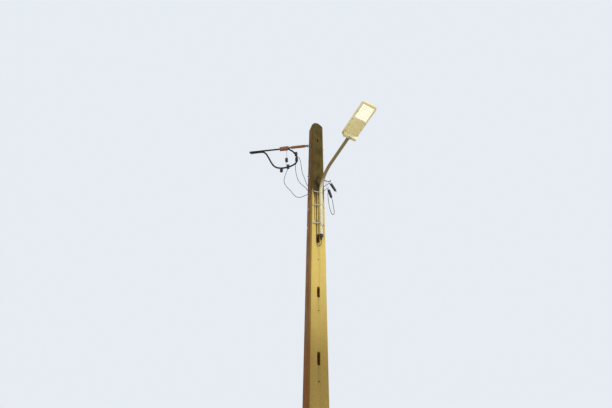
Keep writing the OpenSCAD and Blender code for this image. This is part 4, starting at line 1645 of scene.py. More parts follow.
@dataclass
class StreetLamp(Assembly):
    """The flat cast lamp with its socket block, fins, covers and window."""

    lamp_w: float = 0.290
    lamp_l: float = 0.730
    lamp_h: float = 0.070
    side_h: float = 0.046
    floor_z: float = 0.015
    seam_up: float = 0.024
    block_back: float = 0.038
    block_l: float = 0.120
    block_under: float = 0.052
    gear_l: float = 0.272
    gear_t: float = 0.006
    bezel_t: float = 0.009
    bezel_band: float = 0.020
    chamber_h: float = 0.026
    fin_count: int = 11
    fin_h: float = 0.016
    fin_t: float = 0.004
    fin_l: float = 0.300
    lid_ribs: int = 5
    clips: int = 3
    lens_rows: int = 6
    lens_columns: int = 5
    lens_share: float = 0.92
    lens: tuple[Pair, ...] = ((0.0, 0.0145), (0.0020, 0.0145), (0.0038, 0.0128), (0.0062, 0.0100),
                              (0.0082, 0.0060), (0.0090, 0.0018))
    collar: tuple[Pair, ...] = ((0.0, 0.0006), (0.0, 0.0095), (0.0025, 0.0115), (0.0085, 0.0115),
                                (0.0105, 0.0080), (0.0135, 0.0040), (0.0150, 0.0006))

    @property
    def crown_r(self) -> float:
        """The radius of the housing's crowned back."""
        rise = self.lamp_h - self.side_h
        return (self.lamp_w**2 / 4 + rise**2) / (2 * rise)

    def fitted(self, shape: Bench, name: str, coat: Coat, replaces: Sequence[str] = ()) -> None:
        """Finishes a shape in the lamp's frame."""
        shape.put(self.layout.lamp).done(name, coat, replaces)

    def housing(self) -> None:
        """Rounds the cast body and sinks its parting line."""
        body = Bench.node(self.nodes["lamp_housing"]).put(self.layout.lamp.inverted())
        body.groove(self.floor_z + self.seam_up, 0.0022, 0.0018).round_off(0.0035, 3, 40.0)
        self.fitted(body, "lamp_body", self.palette.lamp, ["lamp_housing"])

    def fins(self) -> None:
        """Models the cooling fins across the crown, each from its own seat up to one height."""
        top = self.floor_z + self.lamp_h + self.fin_h
        spread = self.lamp_w - 0.090
        made = []
        for i in range(self.fin_count):
            x = -spread / 2 + spread * i / (self.fin_count - 1)
            high = math.sqrt(self.crown_r**2 - (abs(x) + self.fin_t / 2) ** 2)
            seat = self.floor_z + self.lamp_h - self.crown_r + high
            at = (x, -self.lamp_l + 0.060 + self.fin_l / 2, seat + 0.0023)
            made.append(Bench.rib((self.fin_t, self.fin_l, 0.004), at, (0.0, 0.0, top - seat - 0.0043),
                                  (0.55, 0.94, 1.0), 0.0007))
        self.fitted(made[0].with_all(made[1:]), "lamp_fins", self.palette.lamp, ["cooling_fins"])

    def gear_lid(self) -> None:
        """Makes the lid under the gear space, with a sunk panel, pressed ribs and screws."""
        wide, long = self.lamp_w - 0.012, self.gear_l - 0.002
        middle = -self.block_l - self.gear_l + long / 2
        top = self.floor_z - self.layout.gap
        lid = Bench.block((wide, long, self.gear_t), (0.0, middle, top - self.gear_t / 2))
        lid.chamfer(2, 0.020, 6).panel(0.016, 0.0022).round_off(0.0007)
        low = top - self.gear_t
        ribs = [Bench.rib((0.010, long - 0.090, 0.002), (-0.088 + 0.044 * i, middle, low + 0.0022),
                          (0.0, 0.0, -0.0016), (0.5, 0.96, 1.0), 0.0006) for i in range(self.lid_ribs)]
        self.fitted(lid.with_all(ribs), "gear_lid", self.palette.lamp, ["gear_cover"])
        spots = [shift(s * (wide / 2 - 0.009), middle + t * (long / 2 - 0.014), low - 0.0002)
                 for s in SIDES for t in (-1, 0, 1)]
        screws = hex_head(0.011, 0.0045, 0.0075).put(turn(90, "Y")).spread(spots)
        self.fitted(screws, "lid_screws", self.palette.zinc)

    def rim(self) -> None:
        """Makes the window's frame with its clips."""
        frame = Bench.node(self.nodes["window_frame"]).round_off(0.0022, 3, 40.0)
        low = self.floor_z - self.bezel_t - self.layout.gap
        front = -self.block_l - self.gear_l - 0.047
        made = []
        for s in SIDES:
            for i in range(self.clips):
                at = (s * (self.lamp_w / 2 - 0.018), front - i * 0.100, low - 0.0010)
                clip = Bench.rib((0.016, 0.022, 0.0020), at, (-s * 0.007, 0.0, 0.0004), (1.0, 0.7, 0.8),
                                 0.0006)
                made.append(clip.put(self.layout.lamp))
        frame.with_all(made).done("window_rim", self.palette.frame, ["window_frame"])

    def light(self) -> None:
        """Makes the lit board, its lenses and the glass under them."""
        wide = self.lamp_w - 2 * self.bezel_band - 0.012
        long = self.lamp_l - 2 * self.bezel_band - 0.012 - self.block_l - self.gear_l
        seat = self.floor_z + self.chamber_h - 0.006 - self.layout.gap
        middle = -self.lamp_l + self.bezel_band + 0.006 + long / 2
        board = Bench.block((wide, long, 0.006), (0.0, middle, seat + 0.003)).panel(0.010, 0.0012)
        self.fitted(board, "lit_board", self.palette.board, ["light_board"])
        columns, rows = ([((i + 0.5) / count - 0.5) * self.lens_share for i in range(count)]
                         for count in (self.lens_columns, self.lens_rows))
        spots = [shift(wide * x, middle + long * y, seat + 0.0014) for y in rows for x in columns]
        lenses = Bench.turned(self.lens, 20).put(turn(90, "Y")).spread(spots)
        self.fitted(lenses, "lit_lenses", self.palette.lens)
        self.softened("window_glass", "window_pane", self.palette.glass, 0.0006)

    def socket(self) -> None:
        """Rounds the socket block and adds its collar and its clamp screws."""
        self.softened("socket_block", "socket_casting", self.palette.socket, 0.005, 3, 30.0)
        collar = Bench.turned(moved(self.collar, out=self.layout.arm_d / 2), 48, hollow=True)
        collar.put(shift(y=-self.block_back + 0.0002) @ turn(90, "Z"))
        self.fitted(collar, "socket_collar", self.palette.black)
        low = -self.block_under - self.layout.gap
        spots = [shift(s * 0.016, -self.block_back - y, low) for s in SIDES for y in (0.012, 0.038)]
        screws = hex_head(0.016, 0.0078, 0.0100).put(turn(90, "Y")).spread(spots)
        self.fitted(screws, "clamp_screws", self.palette.zinc, ["socket_screws"])

    def build(self) -> None:
        """Makes the whole lamp."""
        self.housing()
        self.fins()
        self.gear_lid()
        self.rim()
        self.light()
        self.socket()


@dataclass
class SpanAnchor(Assembly):
    """The eye bolt, the turnbuckle and the wedge clamp that hold the bundle."""

    washer_w: float = 0.064
    nut_d: float = 0.027
    body_d: float = 0.058
    body_l: float = 0.310
    sight_in: float = 0.085
    rod_d: float = 0.022
    ring_r: float = 0.017
    ring_bar: float = 0.011
    forged_bar: float = 0.0165
    rod_show: float = 0.010
    clamp_l: float = 0.165
    clamp_h: float = 0.078
    clamp_h_out: float = 0.064
    clamp_w: float = 0.056
    bail_l: float = 0.060
    bail_d: float = 0.010
    bundle_drop: float = 0.012

    @property
    def inner_ring(self) -> float:
        """The middle of the inner end ring along the pull."""
        return self.ring_r - self.ring_bar / 2 - self.layout.eye_bar / 2 - self.layout.gap

    @property
    def body_from(self) -> float:
        """Where the turnbuckle's body starts."""
        return self.inner_ring + self.ring_r + self.rod_show

    @property
    def outer_ring(self) -> float:
        """The middle of the outer end ring."""
        return self.body_from + self.body_l + self.rod_show + self.ring_r

    @property
    def bail_at(self) -> float:
        """Where the clamp's bail bears in the outer ring."""
        return self.outer_ring + self.ring_r - self.ring_bar / 2 - self.bail_d / 2 - self.layout.gap

    @property
    def clamp_from(self) -> float:
        """Where the clamp's body starts."""
        return self.bail_at + self.bail_l - 0.025

    def eye_bolt(self) -> None:
        """Makes the eye bolt with its forged neck and its thread."""
        at = self.layout
        end = at.width(at.eye_z) / 2 + at.gap + at.washer_t + at.nut_t + at.thread_past
        start, r = at.eye_middle + at.eye_r, at.bolt_d / 2
        ring = Bench.ring(at.eye_r, at.eye_bar).put(shift(at.eye_middle) @ turn(90, "X"))
        shank = Bench.turned([(start - 0.002, 0.0070), (start + 0.003, 0.0105), (start + 0.008, 0.0090),
                              (start + 0.014, r), (end - 0.055, r), (end - 0.054, at.bolt_d * 0.45)], 28)
        ring.with_all([shank, threaded(end - 0.056, end, r)])
        ring.put(shift(z=at.eye_z)).done("anchor_eye_bolt", self.palette.dark_zinc, ["eye_bolt"])

    def bored(self, shape: Bench) -> Bench:
        """Bores a washer or a nut for its bolt."""
        return shape.cut(Bench.pin(-0.01, 0.03, self.layout.bolt_d / 2 + self.layout.gap, 36))

    def washers_and_nuts(self) -> None:
        """Makes the square washers and the nuts of both through bolts."""
        at = self.layout
        plate = Bench.block((at.washer_t, self.washer_w, self.washer_w), (at.washer_t / 2, 0.0, 0.0))
        self.bored(plate.chamfer(0, 0.004, 3)).round_off(0.0008)
        spots = [shift(z=z) @ side @ shift(at.width(z) / 2 + at.gap)
                 for z in (at.eye_z, at.hook_z) for side in (Matrix(), MIRROR)]
        plate.spread(spots).done("square_washers", self.palette.zinc, ["bolt_washers"])
        spots = [shift(at.nut_from(at.eye_z), z=at.eye_z),
                 shift(z=at.hook_z) @ MIRROR @ shift(at.nut_from(at.hook_z))]
        nuts = self.bored(hex_head(self.nut_d, at.nut_t)).spread(spots)
        nuts.done("through_nuts", self.palette.zinc, ["bolt_nuts"])

    def end_rod(self) -> Bench:
        """One ring with its threaded rod along X.

        Returns:
            The bench with the rod on it.
        """
        r, rod_d = self.ring_r, self.rod_d
        ring = Bench.ring(r + (self.forged_bar - self.ring_bar) / 2, self.forged_bar, 36)
        neck = [(r - 0.001, rod_d * 0.30), (r + 0.005, rod_d * 0.62), (r + 0.009, rod_d * 0.52)]
        rod = threaded(r + 0.004, r + self.rod_show + 0.070, rod_d / 2)
        return ring.with_all([Bench.turned(neck, 24), rod])

    def turnbuckle(self) -> None:
        """Makes the pipe body with swaged ends and sight holes, and its two ring rods."""
        span, r, bore = self.layout.span, self.body_d / 2, self.rod_d / 2 + self.layout.gap
        long, within = self.body_l, r - 0.006
        ends = [(0.0, bore), (0.0, r * 0.80), (0.003, r * 0.88), (0.014, r * 0.90), (0.024, r * 0.98),
                (0.028, r)]
        back = [(long - x, wide) for x, wide in reversed(ends)]
        inner = [(long - 0.045, bore), (long - 0.050, within), (0.050, within), (0.045, bore)]
        pipe = Bench.turned([*ends, *back, *inner], 48, hollow=True)
        for x in (self.sight_in, long - self.sight_in):
            pipe.cut(Bench.pin(-0.05, 0.05, 0.0065, 28).put(shift(x) @ turn(90, "Z")))
        pipe.round_off(0.0012, 2, 50.0).put(span @ shift(self.body_from))
        pipe.done("turnbuckle_pipe", self.palette.anchor, ["turnbuckle_body"])
        inner_rod = self.end_rod().put(span @ shift(self.inner_ring))
        inner_rod.done("turnbuckle_inner_rod", self.palette.dark_zinc, ["turnbuckle_inner_eye"])
        outer_rod = self.end_rod().put(span @ shift(self.outer_ring) @ turn(90, "X") @ turn(180, "Z"))
        outer_rod.done("turnbuckle_outer_rod", self.palette.anchor_bar, ["turnbuckle_outer_eye"])

    def clamp(self) -> None:
        """Makes the ribbed clamp body with a rail above and below."""
        place = self.layout.span @ shift(self.clamp_from, z=-self.bundle_drop)
        body = Bench.node(self.nodes["clamp_body"]).put(place.inverted()).round_off(0.0022, 3, 30.0)
        slope = math.degrees(math.atan2((self.clamp_h - self.clamp_h_out) / 2, self.clamp_l))
        parts = []
        for i in range(1, 6):
            x = 0.018 + i * (self.clamp_l - 0.036) / 5
            high = self.clamp_h + (self.clamp_h_out - self.clamp_h) * x / self.clamp_l
            parts += [Bench.rib((0.007, 0.002, high - 0.014), (x, s * (self.clamp_w / 2 + 0.0008), 0.0),
                                (0.0, s * 0.0026, 0.0), (0.55, 1.0, 0.86), 0.0007) for s in SIDES]
        for s in SIDES:
            rail = Bench.rib((self.clamp_l - 0.020, 0.012, 0.004), (0.0, 0.0, 0.0), (0.0, 0.0, s * 0.004),
                             (0.92, 0.5, 1.0), 0.0010)
            middle = shift(self.clamp_l / 2, z=s * (self.clamp_h + self.clamp_h_out) / 4)
            parts.append(rail.put(middle @ turn(s * slope, "Y")))
        body.with_all(parts).put(place).done("wedge_clamp_body", self.palette.anchor, ["clamp_body"])

    def bail(self) -> None:
        """Makes the clamp's bail with its tapered cheeks."""
        cheeks = []
        for s in SIDES:
            at = (self.bail_l - 0.012, s * (self.clamp_w / 2 + 0.0025), 0.0)
            cheek = Bench.block((0.034, 0.004, 0.030), at)
            cheek.draw_out((-0.020, s * 0.0015, 0.0), (1.0, 1.0, 0.5))
            cheeks.append(cheek.draw_out((0.0, s * 0.004, 0.0), (0.92, 1.0, 0.8)).round_off(0.0012))
        bail = wire_bail(self.bail_l, self.clamp_w, self.bail_d, self.layout.gap).with_all(cheeks)
        bail.put(self.layout.span @ shift(self.bail_at))
        bail.done("wedge_clamp_bail", self.palette.anchor_bar, ["clamp_bail"])

    def build(self) -> None:
        """Makes the whole anchor."""
        self.eye_bolt()
        self.washers_and_nuts()
        self.turnbuckle()
        self.clamp()
        self.bail()
        self.softened("clamp_wedges", "wedge_pair", self.palette.grey, 0.0012, 2, 30.0)


@dataclass
class TwistedBundle(Assembly):
    """The five-core bundle: its run, its hanging loop, caps, ties and tap connectors."""

    anchor: SpanAnchor
    bundle_d: float = 0.032
    run_l: float = 1.215
    lay: float = 0.34
    core_count: int = 5
    core_share: float = 0.20
    core_off: float = 1.70
    step: float = 0.010
    cap_l: float = 0.036
    cap: tuple[Pair, ...] = (
        (0.0, 0.0), (0.0, 0.0017), (1 / 30, 0.0020), (0.30, 0.0018), (0.34, 0.0009), (0.38, 0.0018),
        (0.60, 0.0016), (0.82, 0.0004), (0.93, -0.0035), (0.985, -0.0085), (1.0, -0.0135),
    )
    tie_x: float = 0.945
    tap_h: float = 0.084
    tap_w: float = 0.052
    tap_t: float = 0.046
    jaw_gap: float = 0.0016
    loop_points: tuple[Point, ...] = (
        (0.400, 7.949, 0.0), (0.386, 7.931, 0.0), (0.356, 7.905, 0.0), (0.308, 7.862, 0.0),
        (0.264, 7.800, 0.0), (0.226, 7.728, 0.0), (0.201, 7.650, 0.0), (0.198, 7.574, 0.0),
        (0.218, 7.502, 0.0), (0.266, 7.450, 0.0), (0.332, 7.414, 0.0), (0.405, 7.391, 0.0),
        (0.480, 7.382, 0.0), (0.552, 7.390, 0.0), (0.618, 7.420, 0.0), (0.672, 7.475, 0.0),
        (0.718, 7.555, 0.0), (0.762, 7.650, 0.0), (0.806, 7.750, 0.0), (0.852, 7.840, 0.0),
        (0.902, 7.893, 0.0),
    )
    tap_places: tuple[tuple[str, float, float], ...] = (
        ("tap_inner", 0.218, 7.716), ("tap_outer", 0.202, 7.556), ("tap_lead", 0.366, 7.366),
    )
    tap_low: Pair = (0.502, 7.3829)
    tap_earth: Pair = (0.413, 7.606)

    @property
    def loop_drop(self) -> float:
        """How far the loop's end lies below the line of pull."""
        return self.anchor.bundle_drop + self.bundle_d + 0.004

    @property
    def tap_side(self) -> float:
        """How far a connector stands beside the bundle."""
        return self.bundle_d / 2 + self.layout.gap + self.tap_t / 2

    @property
    def tap_feet(self) -> dict[str, Vector]:
        """Where the leads come out of the connectors beside the bundle."""
        return {name: self.layout.span_point(out, z - self.tap_h / 2 + 0.002, self.tap_side)
                for name, out, z in self.tap_places}

    def cores(self, name: str, node: str, points: Sequence[Vector], start: float) -> list[Vector]:
        """Lays the cores round a line.

        Args:
            name: The piece's name.
            node: The node that it stands for.
            points: The line's points.
            start: The angle of the first core, in degrees.

        Returns:
            The line in even steps.
        """
        line = along(points, self.step)
        radius = self.core_share * self.bundle_d
        strands = twisted(line, self.core_off * radius, self.lay, self.core_count, start)
        Bench.rod(strands, radius).done(name, self.palette.cable, [node], 60.0)
        return line

    def caps(self) -> None:
        """Makes the two shrunk-on end caps."""
        profile = [(x * self.cap_l, self.bundle_d / 2 + self.layout.gap + out) for x, out in self.cap]
        spots = []
        for end, drop in ((self.run_l, self.anchor.bundle_drop), (self.run_l - 0.020, self.loop_drop)):
            back = end - self.cap_l + 0.002 + self.layout.gap
            spots.append(self.layout.span @ shift(back, z=-drop))
        caps = Bench.turned(profile, 40).spread(spots)
        caps.done("bundle_end_caps", self.palette.grey, ["bundle_caps"], 40.0)

    def ties(self) -> None:
        """Rounds the two ties and gives each a cut tail."""
        bands = Bench.node(self.nodes["bundle_ties"]).round_off(0.0007, 2, 40.0)
        y, z = self.bundle_d / 2 + 0.0125, -self.anchor.bundle_drop - 0.021
        tails = [Bench.rib((0.0075, 0.010, 0.0016), (x + 0.0045, y, z), (0.001, 0.020, -0.010),
                           (0.9, 1.0, 1.0), 0.0003, 1).put(self.layout.span)
                 for x in (self.tie_x, self.run_l - 0.075)]
        bands.with_all(tails).done("bundle_tie_bands", self.palette.black, ["bundle_ties"])

    def jaw(self, s: float) -> Bench:
        """One toothed jaw of a tap connector.

        Args:
            s: -1 or 1 for its side.

        Returns:
            The bench with the jaw on it.
        """
        deep = self.tap_t / 2 - self.jaw_gap
        jaw = Bench.block((self.tap_w, deep, self.tap_h), (0.0, s * (self.jaw_gap + deep / 2), 0.0))
        for t in SIDES:
            groove = Bench.pin(-self.tap_h, self.tap_h, 0.0095, 36)
            jaw.cut(groove.put(shift(t * (self.tap_w / 2 + 0.003)) @ turn(90, "Y")))
        heights = [-self.tap_h / 2 + 0.009 + i * (self.tap_h - 0.018) / 5 for i in (0, 1, 4, 5)]
        ribs = [Bench.rib((self.tap_w - 0.012, 0.002, 0.0042), (0.0, s * (self.tap_t / 2 - 0.0005), z),
                          (0.0, s * 0.0024, 0.0), (0.93, 1.0, 0.5), 0.0005) for z in heights]
        return jaw.round_off(0.0016, 3, 30.0).with_all(ribs)

    def tap(self) -> Bench:
        """One tap connector, whose jaws a bolt with a shear head draws together.

        Returns:
            The bench with the connector on it.
        """
        inner, outer = (self.jaw(s) for s in SIDES)
        top = self.tap_t / 2
        boss = Bench.turned([(top - 0.002, 0.0125), (top + 0.004, 0.0120), (top + 0.0056, 0.0112),
                             (top + 0.006, 0.0098)])
        low = hex_head(0.018, 0.005).put(shift(top + 0.006))
        neck = Bench.pin(top + 0.0108, top + 0.0132, 0.0045, 20)
        high = hex_head(0.0145, 0.0055).put(shift(top + 0.0125))
        foot = hex_head(0.017, 0.0035).put(turn(180, "Z") @ shift(top - 0.001))
        bolt = boss.with_all([low, neck, high, foot]).put(turn(90, "Z"))
        return inner.with_all([outer, bolt])

    def taps(self) -> list[bpy.types.Object]:
        """Copies the connector to its five places.

        Returns:
            The connectors, the earth wire's last.
        """
        out, z = self.tap_low
        under = z - self.bundle_d / 2 - self.layout.gap - self.tap_h / 2
        spots = [*((*place, self.tap_side) for place in self.tap_places), ("tap_low", out, under, 0.0),
                 ("tap_earth", *self.tap_earth, 0.0)]
        model, made = self.tap(), []
        for name, *point in spots:
            place = Matrix.Translation(self.layout.span_point(*point)) @ turn(self.layout.span_turn, "Z")
            coat = self.palette.brown if name == "tap_earth" else self.palette.black
            made.append(model.copy(place).done(name.replace("tap", "connector"), coat, [name]))
        model.scrap()
        return made

    def build(self) -> None:
        """Makes the run, the loop and what is on them."""
        self.caps()
        self.ties()
        taps = self.taps()
        at, drop, start = self.layout, self.anchor.bundle_drop, self.anchor.clamp_from + 0.002
        points = [at.pull_point(x, drop) for x in (start, start + 0.2, self.run_l - 0.004)]
        run = self.cores("bundle_cores", "bundle_run", points, 20.0)
        ends = [at.pull_point(x, self.loop_drop) for x in (self.tie_x, self.run_l - 0.024)]
        points = [run[0], *at.span_line(self.loop_points), *ends]
        loop = self.cores("bundle_tail_cores", "bundle_loop", points, 65.0)


@dataclass
class DropClamp(Assembly):
    """One small wedge clamp that holds a service lead on the hook."""

    name: str
    at: float
    dip: float
    bail_l: float
    body_l: float = 0.172
    body_h: float = 0.046
    body_h_out: float = 0.032
    body_w: float = 0.034
    peg_x: float = 0.014
    boss: tuple[Pair, ...] = ((0.0, 0.0088), (0.0016, 0.0084), (0.0022, 0.0074))

    @property
    def place(self) -> Matrix:
        """The clamp's frame."""
        return self.layout.drop(self.at, self.dip)

    def build(self) -> None:
        """Makes the ribbed body, its wedges and its wire bail."""
        node, name = f"{self.name}_clamp", f"{self.name}_drop"
        at = self.place @ shift(self.bail_l)
        body = Bench.node(self.nodes[f"{node}_body"]).put(at.inverted()).round_off(0.0014, 3, 30.0)
        parts = []
        for i in range(7):
            x = 0.030 + i * (self.body_l - 0.045) / 6
            high = self.body_h + (self.body_h_out - self.body_h) * x / self.body_l
            parts += [Bench.rib((0.004, 0.0016, high - 0.008), (x, s * (self.body_w / 2 + 0.0006), 0.0),
                                (0.0, s * 0.0016, 0.0), (0.6, 1.0, 0.88), 0.0004) for s in SIDES]
        for s in SIDES:
            side = shift(self.peg_x, s * self.body_w / 2) @ turn(s * 90, "Z") @ shift(-0.0006)
            parts.append(Bench.turned(self.boss, 28).put(side))
        body.with_all(parts).put(at).done(f"{name}_body", self.palette.black, [f"{node}_body"])
        self.softened(f"{node}_wedges", f"{name}_wedges", self.palette.grey, 0.0008, 2, 30.0)
        bail = wire_bail(self.bail_l + self.peg_x, self.body_w, self.layout.drop_bail_d, self.layout.gap)
        bail.put(self.place).done(f"{name}_bail", self.palette.zinc, [f"{node}_bail"])


@dataclass
class ServiceSide(Assembly):
    """The hook, both drop clamps and all the thin leads."""

    bundle: TwistedBundle
    clamps: tuple[tuple[str, float, float, float], ...] = (("outer", 0.278, 52.0, 0.062),
                                                           ("inner", 0.190, 70.0, 0.235))
    hook_reach: float = 0.280
    hook_bend: float = 0.024
    hook_tip: float = 0.026
    lead_d: float = 0.010
    earth_d: float = 0.006
    lamp_earth_d: float = 0.005
    earth_in: float = 0.020
    step: float = 0.012
    lamp_points: tuple[Point, ...] = (
        (0.378, 7.280, 0.034), (0.412, 7.150, 0.028), (0.430, 7.040, 0.022), (0.420, 6.950, 0.018),
        (0.370, 6.845, 0.013), (0.307, 6.762, 0.008), (0.245, 6.665, 0.003), (0.198, 6.605, -0.001),
        (0.149, 6.577, -0.006), (0.095, 6.586, -0.014), (0.050, 6.616, -0.025),
    )
    lamp_route: tuple[Point, ...] = (
        (-0.170, 0.072, 6.680), (-0.140, 0.099, 6.722), (-0.113, 0.121, 6.766), (-0.086, 0.131, 6.812),
        (-0.066, 0.134, 6.848), (-0.024, 0.134, 6.935), (-0.006, 0.139, 6.990), (0.0, 0.145, 7.024),
        (0.0, 0.138, 7.045), (0.0, 0.060, 7.050), (0.0, -0.060, 7.050),
        (0.0, -0.138, 7.045), (-0.003, -0.144, 7.022), (-0.016, -0.132, 6.955), (-0.028, -0.123, 6.890),
        (-0.031, -0.122, 6.840), (-0.031, -0.122, 6.700), (-0.031, -0.1224, 5.750), (-0.031, -0.1225, 5.620),
        (-0.030, -0.125, 5.540), (-0.020, -0.133, 5.472), (0.0, -0.141, 5.440), (0.024, -0.146, 5.442),
        (0.040, -0.1469, 5.476), (0.045, -0.1469, 5.525), (0.045, -0.1469, 5.710),
    )
    lamp_earth: tuple[Point, ...] = (
        (-0.008, -0.040, 7.050), (-0.008, -0.100, 7.050), (-0.008, -0.119, 7.050), (-0.011, -0.126, 7.042),
        (-0.026, -0.124, 7.005), (-0.050, -0.121, 6.930), (-0.062, -0.1195, 6.860), (-0.064, -0.1195, 6.780),
        (-0.064, -0.1195, 6.660), (-0.064, -0.1205, 6.150), (-0.064, -0.1205, 6.030), (-0.056, -0.124, 5.985),
        (-0.032, -0.132, 5.955), (-0.008, -0.145, 5.925), (0.004, -0.157, 5.898), (0.016, -0.172, 5.876),
        (0.030, -0.182, 5.858), (0.048, -0.184, 5.838), (0.064, -0.177, 5.814), (0.075, -0.165, 5.786),
        (0.0795, -0.151, 5.752), (0.0795, -0.1469, 5.715), (0.0795, -0.1469, 5.656),
    )
    outer_points: tuple[Point, ...] = (
        (0.200, 7.652, 0.038), (0.158, 7.610, 0.034), (0.130, 7.535, 0.028), (0.110, 7.400, 0.020),
        (0.098, 7.300, 0.015), (0.076, 7.170, 0.006), (0.038, 7.062, -0.014),
    )
    outer_back: tuple[Point, ...] = (
        (-0.176, 0.066, 7.000), (-0.141, 0.099, 6.975), (-0.113, 0.120, 6.965), (0.0, 0.121, 6.963),
        (0.113, 0.120, 6.965), (0.146, 0.098, 6.982), (0.200, 0.064, 7.018), (0.252, 0.030, 7.060),
        (0.284, 0.013, 7.080), (0.302, 0.007, 7.080),
    )
    inner_points: tuple[Point, ...] = (
        (0.208, 7.470, 0.036), (0.221, 7.370, 0.029), (0.206, 7.210, 0.019), (0.182, 7.090, 0.012),
        (0.138, 6.965, 0.0), (0.084, 6.896, -0.014),
    )
    inner_back: tuple[Point, ...] = (
        (-0.168, 0.074, 6.856), (-0.141, 0.099, 6.849), (-0.113, 0.120, 6.845), (0.0, 0.121, 6.843),
        (0.113, 0.120, 6.845), (0.146, 0.098, 6.858), (0.186, 0.070, 6.890), (0.226, 0.037, 6.930),
        (0.247, 0.023, 6.938),
    )
    inner_loop: tuple[Point, ...] = (
        (0.346, 0.031, 6.650), (0.362, 0.031, 6.520), (0.372, 0.029, 6.390), (0.358, 0.026, 6.325),
        (0.328, 0.022, 6.318), (0.298, 0.018, 6.378), (0.268, 0.011, 6.510), (0.247, 0.003, 6.680),
        (0.243, -0.002, 6.800),
    )
    earth_points: tuple[Point, ...] = ((0.424, 7.850, 0.0), (0.416, 7.750, 0.0), (0.413, 7.670, 0.0))
    earth_low: tuple[Point, ...] = ((0.413, 7.530, 0.0), (0.418, 7.460, 0.0))

    def hook(self) -> None:
        """Draws out the hook's bar round its upward bend, with thread at the back."""
        at = self.layout
        seat, r = at.nut_from(at.hook_z), at.bolt_d / 2
        back = seat + at.nut_t + at.thread_past
        line = [Vector((-back + 0.050, 0.0, 0.0)), Vector()]
        reach, bend = self.hook_reach, self.hook_bend
        line += [Vector((reach + bend * run, 0.0, bend * rise)) for run, rise in quarter(12)]
        line.append(Vector((reach + bend, 0.0, bend + self.hook_tip - 0.003)))
        bar = Bench.rod([line], r, 20)
        tip = Bench.turned([(0.0, r), (0.0018, at.bolt_d * 0.47), (0.003, at.bolt_d * 0.36)], 20)
        tip.put(shift(*line[-1]) @ turn(-90, "Y"))
        rim = at.bolt_d * 0.68
        collar = Bench.turned([(0.0, r), (0.001, rim), (0.005, rim), (0.006, r)], 28)
        bar.with_all([tip, collar.put(shift(seat)), threaded(-back, -back + 0.052, r)])
        bar.put(shift(z=at.hook_z)).done("service_hook", self.palette.dark_zinc, ["drop_hook"])

    def end_cap(self, name: str, line: Sequence[Vector], diameter: float) -> bpy.types.Object:
        """Shrinks a cap on the end of a lead.

        Args:
            name: The cap's name.
            line: The lead's points.
            diameter: The lead's diameter.

        Returns:
            The cap.
        """
        r, long = diameter / 2, 4.2 * diameter
        profile = [(-0.80, r * 0.9), (-0.80, r + 0.0007), (-0.77, r + 0.0011), (-0.50, r + 0.0010),
                   (-0.46, r + 0.0005), (-0.42, r + 0.0010), (0.02, r + 0.0008), (0.08, r * 0.85),
                   (0.11, r * 0.35)]
        cap = Bench.turned([(x * long, wide) for x, wide in profile], 24)
        way = (line[-1] - line[-3]).normalized()
        place = Matrix.Translation(line[-1]) @ way.to_track_quat("X", "Z").to_matrix().to_4x4()
        return cap.put(place).done(name, self.palette.grey)

    def lead(self, name: str, node: str, points: Sequence[Vector], diameter: float,
             on_it: Sequence[bpy.types.Object] = (), capped: bool = True) -> None:
        """Args:
            name: The piece's name.
            node: The node that it stands for.
            points: The points of its route.
            diameter: Its diameter.
            on_it: The pieces on it; not used.
            capped: True where its end hangs free, in a cap.
        """
        line = along(points, self.step)
        piece = mounted(cord_curve(name, [line], diameter / 2), name, self.palette.cable, [node])
        caps = [self.end_cap(f"{name}_cap", line, diameter)] if capped else []

    def leads(self, outer: DropClamp, inner: DropClamp) -> None:
        """Hangs the lamp's leads and the service leads.

        Args:
            outer: The clamp of the outer service lead.
            inner: The clamp of the inner one.
        """
        at, feet = self.layout, self.bundle.tap_feet
        lamp = [feet["tap_lead"], *at.span_line(self.lamp_points), *map(Vector, self.lamp_route)]
        self.lead("lamp_supply_lead", "lamp_lead", lamp, self.lead_d, capped=False)
        earth = [Vector(p) for p in self.lamp_earth]
        self.lead("lamp_earth_wire", "lamp_earth_lead", earth, self.lamp_earth_d, capped=False)
        routes = ((outer, "tap_inner", self.outer_points, self.outer_back, ()),
                  (inner, "tap_outer", self.inner_points, self.inner_back, self.inner_loop))
        for clamp, tap, points, back, after in routes:
            held = [clamp.place @ Vector((clamp.bail_l + x, 0.0, 0.0))
                    for x in (0.004, 0.080, clamp.body_l + 0.030)]
            route = [feet[tap], *at.span_line(points), *map(Vector, back), *held, *map(Vector, after)]
            self.lead(f"{clamp.name}_lead", f"{clamp.name}_service_lead", route, self.lead_d)

    def earth(self) -> None:
        """Hangs the earth wire from the wedge clamp through its brown connector."""
        at, bundle, anchor = self.layout, self.bundle, self.bundle.anchor
        slope = (anchor.clamp_h - anchor.clamp_h_out) / 2 * self.earth_in / anchor.clamp_l
        start = at.pull_point(anchor.clamp_from + self.earth_in,
                              anchor.bundle_drop + anchor.clamp_h / 2 - slope + at.gap)
        points = [start, *at.span_line([*self.earth_points, (*bundle.tap_earth, 0.0), *self.earth_low])]
        self.lead("earth_drop_wire", "earth_wire", points, self.earth_d,
                  [bpy.data.objects["connector_earth"]])

    def build(self) -> None:
        """Makes the hook, the clamps and the leads."""
        self.hook()
        clamps = [DropClamp(self.nodes, self.palette, self.layout, *sizes) for sizes in self.clamps]
        for clamp in clamps:
            clamp.build()
        self.leads(*clamps)
        self.earth()


def main() -> None:
    """Builds the whole scene."""
    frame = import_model()
    bpy.ops.object.select_all(action="DESELECT")
    Studio().build()
    given = (frame["nodes"], Palette(), Layout())
    anchor = SpanAnchor(*given)
    bundle = TwistedBundle(*given, anchor)
    service = ServiceSide(*given, bundle)
    for assembly in (bundle, service, anchor, ConcretePole(*given), LampArm(*given), StreetLamp(*given)):
        assembly.build()
    bpy.context.view_layer.update()
    LOG.info("all pieces are made")


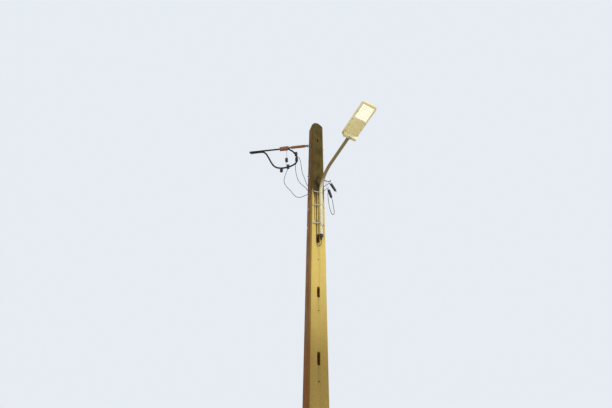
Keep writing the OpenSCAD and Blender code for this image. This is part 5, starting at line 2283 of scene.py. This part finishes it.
if __name__ == "__main__":
    logging.basicConfig(level=logging.INFO, format="%(message)s")
    main()
